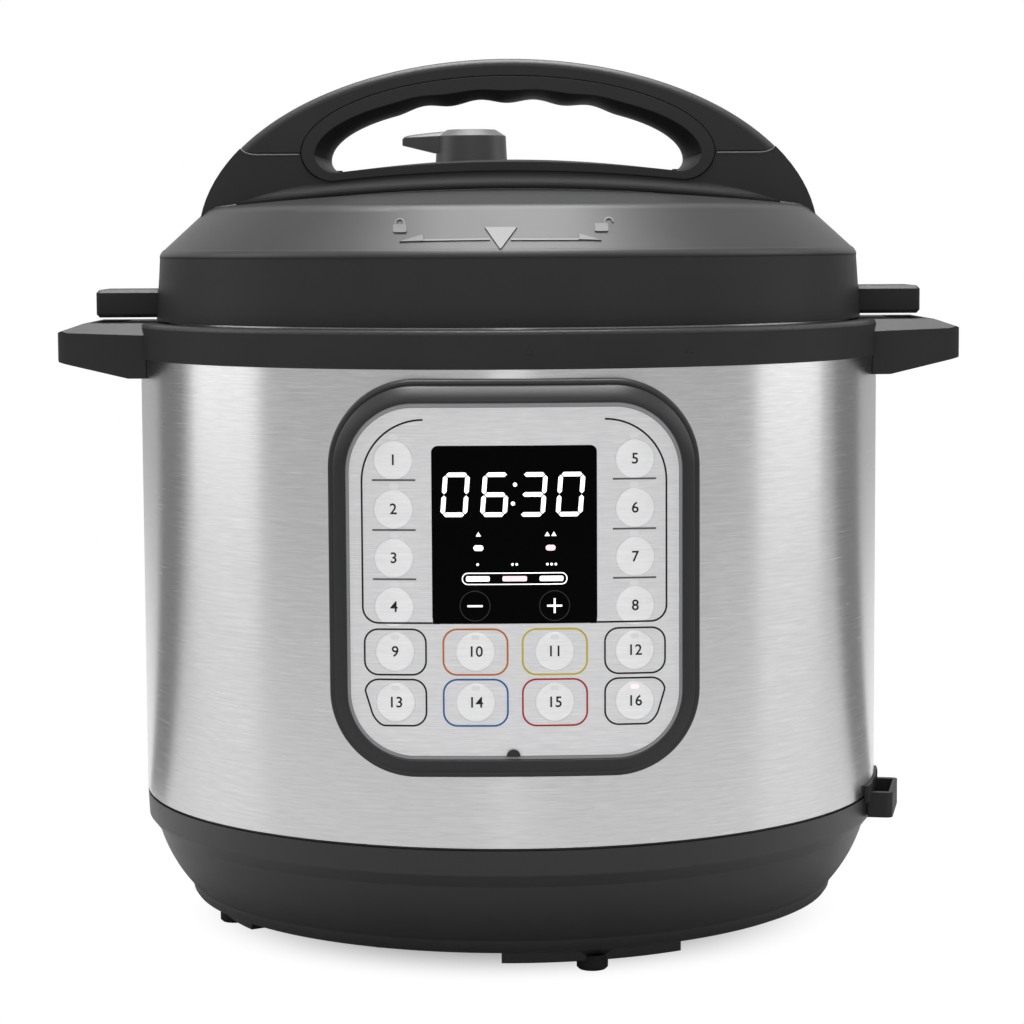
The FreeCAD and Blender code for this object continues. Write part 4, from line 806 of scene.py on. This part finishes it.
def buildLidSigns(look):
    mesh = bmesh.new()
    low, high = -look["sink"] * mm, look["lift"] * mm
    for name in ("pointer", "leftHead", "rightHead"):
        addPatch(mesh, [((x + look["shift"]) * mm, z * mm) for x, z in look[name]], onFacet, low, high)
    for shaft in look["shafts"]:
        path = denser([((x + look["shift"]) * mm, z * mm) for x, z in shaft])
        addLine(mesh, path, look["shaftWidth"] * mm, onFacet, low, high * look["shaftShare"])
    # the signs' lighter grey is a painted highlight
    return finishPiece("lidSigns", mesh, [signPlastic], "lid")


# A shut padlock on the left, one with its bow swung out on the right: (x, how far the bow swings)
padlocks = {
    "places": ((-37.8, 0.0), (30.2, 2.6)), "low": 256.3, "bodyHalf": 2.3, "bodyTop": 259.0, "corner": 0.5,
    "bow": 1.45, "bowRise": 0.5, "bowShare": 0.8, "legSink": 0.2, "line": 0.62, "sink": 0.3, "lift": 0.4,
}


def buildPadlocks(look):
    mesh = bmesh.new()
    low, high = -look["sink"] * mm, look["lift"] * mm
    for x, swing in look["places"]:
        body = roundedBox((x - look["bodyHalf"]) * mm, (x + look["bodyHalf"]) * mm, look["low"] * mm,
                          look["bodyTop"] * mm, look["corner"] * mm, 3)
        addPatch(mesh, body, onFacet, low, high)
        top = look["bodyTop"] + look["bowRise"]
        bow = arcPoints((x + swing) * mm, top * mm, look["bow"] * mm, 180, 0, 12)
        foot = (look["bodyTop"] - look["legSink"]) * mm
        legs = [(bow[0][0], foot)] + bow
        if not swing:
            legs.append((bow[-1][0], foot))
        addLine(mesh, legs, look["line"] * mm, onFacet, low, high * look["bowShare"])
    # the padlocks' lighter grey is a painted highlight
    return finishPiece("lidPadlocks", mesh, [signPlastic], "lid")


# Ring with a rounded section, as (radius, height), between the lid's skirt and its facet
shoulderRing = {
    "section": ((129.2, 247.6), (130.5, 247.7), (130.52, 248.15), (130.42, 248.7), (130.2, 249.2),
                (129.82, 249.8), (129.35, 250.35), (128.98, 250.72), (128.2, 250.9)),
    "spokes": 288,
}


def buildShoulderRing(look):
    mesh = bmesh.new()
    loops = []
    for k in range(look["spokes"]):
        angle = 2 * math.pi * k / look["spokes"]
        loops.append([mesh.verts.new((r * mm * math.cos(angle), r * mm * math.sin(angle), z * mm))
                      for r, z in look["section"]])
    addSkin(mesh, loops, range(1, len(look["section"]) - 2), closed=True)
    return finishPiece("lidShoulderRing", mesh, [blackPlastic], "lid")


# Hollow curve that leads from the handle's faces out to the edge of its plinth, front and back
handleFlare = {
    "half": 100.0, "steps": 80, "rows": 10, "top": 274.4, "fall": 0.00063, "root": 21.2, "edge": 26.45,
    "rise": 6.2, "leastRise": 0.3, "proud": 0.05, "inset": 1.0, "sink": 1.0, "fade": 26.0,
}


def buildHandleFlare(look):
    mesh = bmesh.new()
    for side in (-1, 1):
        columns = []
        for k in range(look["steps"] + 1):
            x = look["half"] * (2 * k / look["steps"] - 1)
            share = min(1.0, (look["half"] - abs(x)) / look["fade"])
            foot = look["top"] - look["fall"] * (x * x + look["edge"] ** 2)
            rise = look["leastRise"] + (look["rise"] - look["leastRise"]) * share * (2 - share)
            inside, outside, under = look["root"] - look["inset"], look["edge"], foot - look["sink"]
            column = [(inside, foot + rise)]
            for i in range(look["rows"] + 1):
                turn = math.pi / 2 * i / look["rows"]
                column.append((outside - (outside - look["root"]) * math.cos(turn),
                               foot + rise * (1 - math.sin(turn)) + look["proud"]))
            column += [(outside, under), (inside, under)]
            columns.append([mesh.verts.new((x * mm, side * y * mm, z * mm)) for y, z in column])
        addSkin(mesh, columns, range(1, look["rows"] + 1))
    # the flare's darker colour is painted shade in the hollow
    return finishPiece("handleFlare", mesh, [flarePlastic], "lid")


# Dark sheets of the handle's plastic inside the parting gaps, which close the view through them and stand in
# for the shade there: (low x, high x, low z, high z)
gapShadeSheets = {"boxes": ((62.0, 74.0, 273.0, 280.0), (91.0, 99.5, 284.8, 287.2)), "half": 0.4}


def buildGapShadeSheets(look):
    mesh = bmesh.new()
    for side in (-1, 1):
        for lowX, highX, lowZ, highZ in look["boxes"]:
            middle = Vector((side * (lowX + highX) / 2, 0, (lowZ + highZ) / 2)) * mm
            size = Vector((highX - lowX, 2 * look["half"], highZ - lowZ)) * mm
            fit = Matrix.Translation(middle) @ Matrix.Diagonal(size.to_4d())
            bmesh.ops.create_cube(mesh, size=1.0, matrix=fit)
    # these sheets are dark backing that stands in for shade inside the gaps
    return finishPiece("handleGapShadeSheets", mesh, [blackPlastic], "lid")


# Fine bead on the lower half of the handle, just under the parting line: a real ledge that catches light,
# coloured in the knob's lighter grey as a painted highlight
splitBead = {
    "start": 76.9, "bend": 92.0, "end": 98.4, "height": 285.45, "rise": 2.6, "run": 7.6, "power": 2.6,
    "radius": 0.36, "face": 20.57, "lean": 0.0909, "steps": 24, "spokes": 8,
}


def buildSplitBead(look):
    mesh = bmesh.new()
    for across in (-1, 1):
        for side in (-1, 1):
            loops = []
            for k in range(look["steps"] + 1):
                x = look["start"] + (look["end"] - look["start"]) * k / look["steps"]
                rise = look["rise"] * (max(0.0, x - look["bend"]) / look["run"]) ** look["power"]
                y, z = look["face"] - look["lean"] * rise, look["height"] + rise
                turns = [2 * math.pi * n / look["spokes"] for n in range(look["spokes"])]
                ring = [(y + look["radius"] * math.cos(a), z + look["radius"] * math.sin(a)) for a in turns]
                loops.append([mesh.verts.new((across * x * mm, side * py * mm, pz * mm)) for py, pz in ring])
            addSkin(mesh, loops, range(look["spokes"]))
    # the bead's lighter grey is a painted highlight along the parting line
    return finishPiece("handleSplitBead", mesh, [knobPlastic], "lid")


# Crowned top of the release knob's lever, which rises and widens toward the knob: (at its tip, at its root)
leverCrown = {
    "x": -13.6, "y": 55.0, "reach": (26.5, 9.6), "half": (3.9, 5.5), "top": (294.0, 294.5),
    "rise": (0.3, 2.0), "round": 0.6, "seat": 0.05, "sink": 0.4, "steps": 12, "across": 24,
}


def buildLeverCrown(look):
    mesh = bmesh.new()
    loops = []
    spots = [2 * i / look["across"] - 1 for i in range(look["across"] + 1)]
    bulges = [math.sin(math.pi / 2 * min(1.0, (1 - abs(v)) / look["round"])) for v in spots]
    for k in range(look["steps"] + 1):
        share = k / look["steps"]
        reach, half, top = [a + (b - a) * share for a, b in (look["reach"], look["half"], look["top"])]
        rise = look["rise"][0] + (look["rise"][1] - look["rise"][0]) * math.sqrt(share)
        section = [(half * v, top - look["seat"] + rise * bulge) for v, bulge in zip(spots, bulges)]
        section += [(half, top - look["sink"]), (-half, top - look["sink"])]
        x = (look["x"] - reach) * mm
        loops.append([mesh.verts.new((x, (look["y"] + y) * mm, z * mm)) for y, z in section])
    addSkin(mesh, loops, range(look["across"]))
    return finishPiece("releaseLeverCrown", mesh, [knobPlastic], "steam_release")


buildLidSigns(lidSigns)
buildPadlocks(padlocks)
buildSplitBead(splitBead)
buildShoulderRing(shoulderRing)
buildHandleFlare(handleFlare)
buildGapShadeSheets(gapShadeSheets)
buildLeverCrown(leverCrown)
print("lid details ready")


# Panel frame: a step along the outer edge, a face that leans back most at the top, a grey lip round the film.
# flank: (share of the width from outside to inside, mm behind the front); lip: the same, at the film's level
bezelShape = {
    "outer": (-62.0, 62.0, 74.8, 207.9, 29.0), "inner": (-55.1, 55.1, 81.9, 198.7, 21.6), "front": 1.34,
    "flank": ((0.0, 5.0), (0.015, 4.5), (0.045, 4.15), (0.09, 3.85), (0.14, 3.68), (0.18, 3.65), (0.2, 3.75),
              (0.215, 4.1), (0.23, 3.75), (0.25, 3.4), (0.31, 2.85), (0.38, 2.3), (0.45, 1.75), (0.53, 1.2),
              (0.6, 0.75), (0.67, 0.38), (0.74, 0.12), (0.8, 0.0)),
    "lip": ((0.82, 0.04), (0.84, 0.3), (0.85, 0.8), (0.86, 1.12), (1.0, 1.24), (1.0, 3.4)),
    "sideShare": 0.36, "leanPower": 1.5, "steel": 137.8, "cornerSteps": 24, "sideSteps": 24,
}


def evenLoop(lowX, highX, lowZ, highZ, radius, cornerSteps, sideSteps):
    points = roundedBox(lowX, highX, lowZ, highZ, radius, cornerSteps)
    result = []
    for i, (x, z) in enumerate(points):
        nextX, nextZ = points[(i + 1) % len(points)]
        parts = 1 if (i + 1) % (cornerSteps + 1) else sideSteps
        result += [(x + (nextX - x) * k / parts, z + (nextZ - z) * k / parts) for k in range(parts)]
    return result


def buildBezel(look):
    mesh = bmesh.new()
    outer = evenLoop(*look["outer"], look["cornerSteps"], look["sideSteps"])
    inner = evenLoop(*look["inner"], look["cornerSteps"], look["sideSteps"])
    columns = []
    for (ax, az), (bx, bz) in zip(outer, inner):
        up = max(0.0, (az - bz) / math.hypot(ax - bx, az - bz))
        lean = look["sideShare"] + (1 - look["sideShare"]) * up ** look["leanPower"]
        section = [(share, depth * lean) for share, depth in look["flank"]] + list(look["lip"])
        foot = math.sqrt(look["steel"] ** 2 - ax * ax)
        column = [mesh.verts.new((ax * mm, -foot * mm, az * mm))]
        for share, depth in section:
            x, z = ax + (bx - ax) * share, az + (bz - az) * share
            column.append(mesh.verts.new(onPanel(x * mm, z * mm, (look["front"] - depth) * mm)))
        columns.append(column)
    lipRow = len(columns[0]) - 3
    addSkin(mesh, columns, range(1, lipRow), closed=True)
    for face in list(mesh.faces)[lipRow::len(columns[0])]:
        face.material_index = 1
    piece = finishPiece("panelBezelFrame", mesh, [bezelPlastic, lipPlastic], "base")
    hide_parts("panel_bezel")


buildBezel(bezelShape)
print("bezel ready")


# Base bowl: the moulding's lower edge lifts between the foot pads, so that pads and feet show under it.
# lip: (radius, height) on the plain edge, and where it goes; floor, floorTop, pad: height, and where it goes
bowlEdge = {
    "lip": (((121.9, 14.0), (121.9, 14.0)), ((121.3, 7.0), (121.3, 11.1)), ((120.2, 4.5), (120.4, 9.8)),
            ((117.8, 3.4), (118.2, 8.9))),
    "lipInner": (115.0, 8.4), "lipUnder": (117.5, 3.45), "wall": 115.0, "curl": (120.5, 7.1),
    "floor": (5.5, 8.3), "floorRadii": (90.0, 112.0), "floorReach": 114.2, "floorTop": (8.3, 9.4),
    "topReach": 114.0, "pad": (2.2, 3.8), "still": (123.0, 14.0), "level": 0.02, "slack": 0.01,
    "footRing": 107.5, "footAngle": -75.5, "footPitch": 90.0, "holeReach": 6.0, "padTop": 3.0,
    "crease": 12.0, "lowCrease": 55.0, "creaseLine": 13.9,
}


def movedEdge(radius, height, look):
    floorWas, floorNow = look["floor"]
    topWas, topNow = look["floorTop"]
    padWas, padNow = look["pad"]
    near, far = look["floorRadii"]
    if radius > look["still"][0] or height > look["still"][1]:
        return radius, height
    if abs(height - topWas) < look["level"] and radius < look["topReach"]:
        return radius, topNow
    if abs(height - padWas) < look["level"]:
        return radius, padNow
    if abs(height - floorWas) < look["level"] and radius < look["floorReach"]:
        share = max(0.0, min(1.0, (radius - near) / (far - near)))
        return min(radius, far), floorWas + (floorNow - floorWas) * share
    if radius < look["lipUnder"][0] and height < look["lipUnder"][1]:
        return look["lipInner"]
    if radius > look["wall"] and (radius > look["curl"][0] or height < look["curl"][1]):
        for (above, aboveNew), (below, belowNew) in zip(look["lip"], look["lip"][1:]):
            if below[1] - look["slack"] <= height <= above[1]:
                share = (above[1] - height) / (above[1] - below[1])
                return tuple(a + (b - a) * share for a, b in zip(aboveNew, belowNew))
    return radius, height


def buildBowl(look):
    mesh = bmesh.new()
    mesh.from_mesh(frame["nodes"]["base_bowl"].data)
    bmesh.ops.remove_doubles(mesh, verts=mesh.verts, dist=1e-6)
    ring, pitch = look["footRing"], look["footPitch"]
    for vert in mesh.verts:
        radius = math.hypot(vert.co.x, vert.co.y)
        around = math.degrees(math.atan2(vert.co.y, vert.co.x)) - look["footAngle"]
        offAngle = (around + pitch / 2) % pitch - pitch / 2  # from the nearest foot
        inFootHole = math.hypot(radius / mm - ring, math.radians(offAngle) * ring) < look["holeReach"]
        newRadius, newHeight = movedEdge(radius / mm, vert.co.z / mm, look)
        if not inFootHole or vert.co.z < look["padTop"] * mm:
            scale = newRadius * mm / radius
            vert.co = (vert.co.x * scale, vert.co.y * scale, newHeight * mm)
    for face in mesh.faces:
        face.smooth = True
    for edge in mesh.edges:
        height = (edge.verts[0].co.z + edge.verts[1].co.z) / 2
        crease = look["crease"] if height > look["creaseLine"] * mm else look["lowCrease"]
        edge.smooth = edge.calc_face_angle(0.0) < math.radians(crease)
    piece = finishPiece("baseBowlShell", mesh, [basePlastic], "base")
    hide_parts("base_bowl")


buildBowl(bowlEdge)
print("base ready")


# Small things on the panel and the rim: moulding tab, window corners, alignment marks

panelTrim = {
    "tabX": -0.7, "tabZ": 81.9, "tabRadius": 2.3, "tabLift": (-0.1, 0.9),
    "pipShare": 0.55, "pipLift": (0.8, 1.25),
    "cornerX": 26.2, "cornerZ": 127.6, "cornerHalf": 1.15, "cornerLift": (-0.05, 0.02),
}


def buildPanelTrim(look):
    tabX, tabZ, share = look["tabX"] * mm, look["tabZ"] * mm, look["pipShare"]
    lifts = {name: [v * mm for v in look[name]] for name in ("tabLift", "pipLift", "cornerLift")}
    mesh = bmesh.new()
    tab = arcPoints(tabX, tabZ, look["tabRadius"] * mm, 0, 180, 16)
    addPatch(mesh, tab, onPanel, *lifts["tabLift"])
    pip = [(tabX + (x - tabX) * share, tabZ + (z - tabZ) * share) for x, z in tab]
    addPatch(mesh, pip, onPanel, *lifts["pipLift"])
    finishPiece("bezelTab", mesh, [bezelPlastic], "base")
    mesh = bmesh.new()
    half = look["cornerHalf"]
    for cx in (-look["cornerX"], look["cornerX"]):
        offsets = ((half, half), (-half, half), (-half, -half), (half, -half))
        corner = [((cx + dx) * mm, (look["cornerZ"] + dz) * mm) for dx, dz in offsets]
        addPatch(mesh, corner, onPanel, *lifts["cornerLift"])
    finishPiece("windowCorners", mesh, [windowPlastic], "base")


rimMarks = {
    "radius": 138.55, "places": ((5.1, 217.1), (59.6, 216.9)), "half": 1.6, "rise": 1.3,
    "sink": 0.2, "lift": 0.1,
}


def buildRimMarks(look):
    def onRim(x, z, lift):
        return Vector((x, -math.sqrt((look["radius"] * mm + lift) ** 2 - x ** 2), z))

    mesh = bmesh.new()
    half, rise = look["half"], look["rise"]
    low, high = -look["sink"] * mm, look["lift"] * mm
    for x, z in look["places"]:
        points = ((x - half, z - rise), (x + half, z - rise), (x, z + rise))
        addPatch(mesh, [(px * mm, pz * mm) for px, pz in points], onRim, low, high)
    finishPiece("rimMarks", mesh, [blackPlastic], "base")


buildPanelTrim(panelTrim)
buildRimMarks(rimMarks)
print("panel trim ready")


# Stage, in metres: white floor that keeps a close shadow, four softboxes, dark cards for the steel's edges.
# fade: the radii between which the floor turns to plain white

floorLook = {"half": 8.0, "color": "dcdcdc", "fade": (0.072, 0.126), "nearWhite": 0.35}


def buildFloor(look):
    half = look["half"]
    corners = [(-half, -half, 0), (half, -half, 0), (half, half, 0), (-half, half, 0)]
    data = bpy.data.meshes.new("studioFloor")
    data.from_pydata(corners, [], [(0, 1, 2, 3)])
    floor = bpy.data.objects.new("studioFloor", data)
    scene.collection.objects.link(floor)
    material, tree = newMaterial("paperFloor")
    path = addNode(tree, "ShaderNodeLightPath")
    place = addNode(tree, "ShaderNodeTexCoord").outputs["Object"]
    reach = addNode(tree, "ShaderNodeVectorMath", {"operation": "LENGTH"}, {0: place})
    fade = addNode(tree, "ShaderNodeMapRange", {"interpolation_type": "SMOOTHSTEP"}, {
        "Value": reach.outputs["Value"], "From Min": look["fade"][0], "From Max": look["fade"][1],
        "To Min": look["nearWhite"], "To Max": 1.0})
    matte = addNode(tree, "ShaderNodeBsdfDiffuse", feeds={"Color": linear(look["color"])})
    white = addNode(tree, "ShaderNodeEmission", feeds={"Color": (1, 1, 1, 1), "Strength": 1.0})
    seen = addNode(tree, "ShaderNodeMath", {"operation": "MULTIPLY"}, {
        0: path.outputs["Is Camera Ray"], 1: fade.outputs["Result"]})
    mix = addNode(tree, "ShaderNodeMixShader", feeds={
        0: seen.outputs[0], 1: matte.outputs["BSDF"], 2: white.outputs["Emission"]})
    addNode(tree, "ShaderNodeOutputMaterial", feeds={"Surface": mix.outputs["Shader"]})
    data.materials.append(material)


worldLook = {"seen": 1.0, "level": 0.64}


def buildWorld(look):
    world = bpy.data.worlds.new("studioWorld")
    world.use_nodes = True
    scene.world = world
    tree = world.node_tree
    tree.nodes.clear()
    path = addNode(tree, "ShaderNodeLightPath")
    level = addNode(tree, "ShaderNodeMapRange", feeds={
        "Value": path.outputs["Is Camera Ray"], "To Min": look["level"], "To Max": look["seen"]})
    sky = addNode(tree, "ShaderNodeBackground", feeds={
        "Color": (1, 1, 1, 1), "Strength": level.outputs["Result"]})
    addNode(tree, "ShaderNodeOutputWorld", feeds={"Surface": sky.outputs["Background"]})


# azimuth 0 is the camera's side, positive to the right; the boxes at the sides show in what shines
# and don't light what is matt
softboxes = {
    "leftBox": {"azimuth": -95.6, "distance": 2.2, "height": 0.5, "size": (1.27, 2.6), "radiance": 1.16,
                "lightsMatte": False},
    "rightBox": {"azimuth": 92.8, "distance": 2.2, "height": 0.5, "size": (1.19, 2.6), "radiance": 1.13,
                 "lightsMatte": False},
    "topBox": {"azimuth": 180, "distance": 0.15, "height": 1.7, "size": (0.9, 1.3), "radiance": 7.7},
    "frontBox": {"azimuth": 0, "distance": 2.4, "height": 0.9, "size": (0.5, 1.4), "radiance": 1.25},
}
lightAim = Vector((0, 0, 0.16))  # every box is turned to this point


def buildSoftbox(name, look):
    wide, tall = look["size"]
    light = bpy.data.lights.new(name, "AREA")
    light.shape = "RECTANGLE"
    light.size = wide
    light.size_y = tall
    light.energy = look["radiance"] * math.pi * wide * tall
    lamp = bpy.data.objects.new(name, light)
    scene.collection.objects.link(lamp)
    angle = math.radians(look["azimuth"])
    lamp.location = (math.sin(angle) * look["distance"], -math.cos(angle) * look["distance"], look["height"])
    aim = lightAim - lamp.location
    lamp.rotation_euler = aim.to_track_quat("-Z", "Y").to_euler()
    lamp.visible_camera = False
    lamp.visible_diffuse = look.get("lightsMatte", True)


darkCards = {
    "azimuths": (-125, 124), "distance": 2.0, "near": 0.3, "size": (0.7, 3.2), "lift": 0.002,
    "radiance": 0.26,
}


def buildDarkCards(look):
    material, tree = newMaterial("darkCard")
    dim = addNode(tree, "ShaderNodeEmission", feeds={"Color": (1, 1, 1, 1), "Strength": look["radiance"]})
    addNode(tree, "ShaderNodeOutputMaterial", feeds={"Surface": dim.outputs["Emission"]})
    for number, azimuth in enumerate(look["azimuths"]):
        angle = math.radians(azimuth)
        center = Vector((math.sin(angle), -math.cos(angle), 0)) * look["distance"]
        across = Vector((math.cos(angle), math.sin(angle), 0)) * look["size"][0] / 2
        rise = Vector((0, 0, look["size"][1]))
        near = center * look["near"] / look["distance"]
        wedge = across * look["near"] / look["distance"]
        lift = Vector((0, 0, look["lift"]))
        corners = [near - wedge + lift, near + wedge + lift, center + across + lift, center - across + lift,
                   center + across + rise, center - across + rise]
        data = bpy.data.meshes.new(f"darkCard{number}")
        data.from_pydata(corners, [], [(0, 1, 2, 3), (3, 2, 4, 5)])
        data.materials.append(material)
        card = bpy.data.objects.new(f"darkCard{number}", data)
        scene.collection.objects.link(card)
        card.visible_camera = False
        card.visible_diffuse = False
        card.visible_shadow = False


buildFloor(floorLook)
buildWorld(worldLook)
for name, look in softboxes.items():
    buildSoftbox(name, look)
buildDarkCards(darkCards)
print("stage ready")


# Where the photograph was taken from; angles in degrees
photoView = {
    "lens": 103.31, "side": 0.96 * mm, "distance": 1112.9 * mm, "height": 254 * mm,
    "pitchDown": 5.303, "roll": -0.319, "turn": -0.7,
}


def buildCamera(look):
    data = bpy.data.cameras.new("photoCamera")
    data.lens = look["lens"]
    data.sensor_width = 36.0
    data.clip_end = 60.0
    camera = bpy.data.objects.new("photoCamera", data)
    scene.collection.objects.link(camera)
    turn = Matrix.Rotation(math.radians(look["turn"]), 4, "Z")
    spot = Matrix.Translation((look["side"], -look["distance"], look["height"]))
    tilt = Matrix.Rotation(math.radians(90 - look["pitchDown"]), 4, "X")
    roll = Matrix.Rotation(math.radians(look["roll"]), 4, "Z")
    camera.matrix_world = turn @ spot @ tilt @ roll
    scene.camera = camera


buildCamera(photoView)
scene.view_settings.view_transform = "Standard"
print("camera ready")
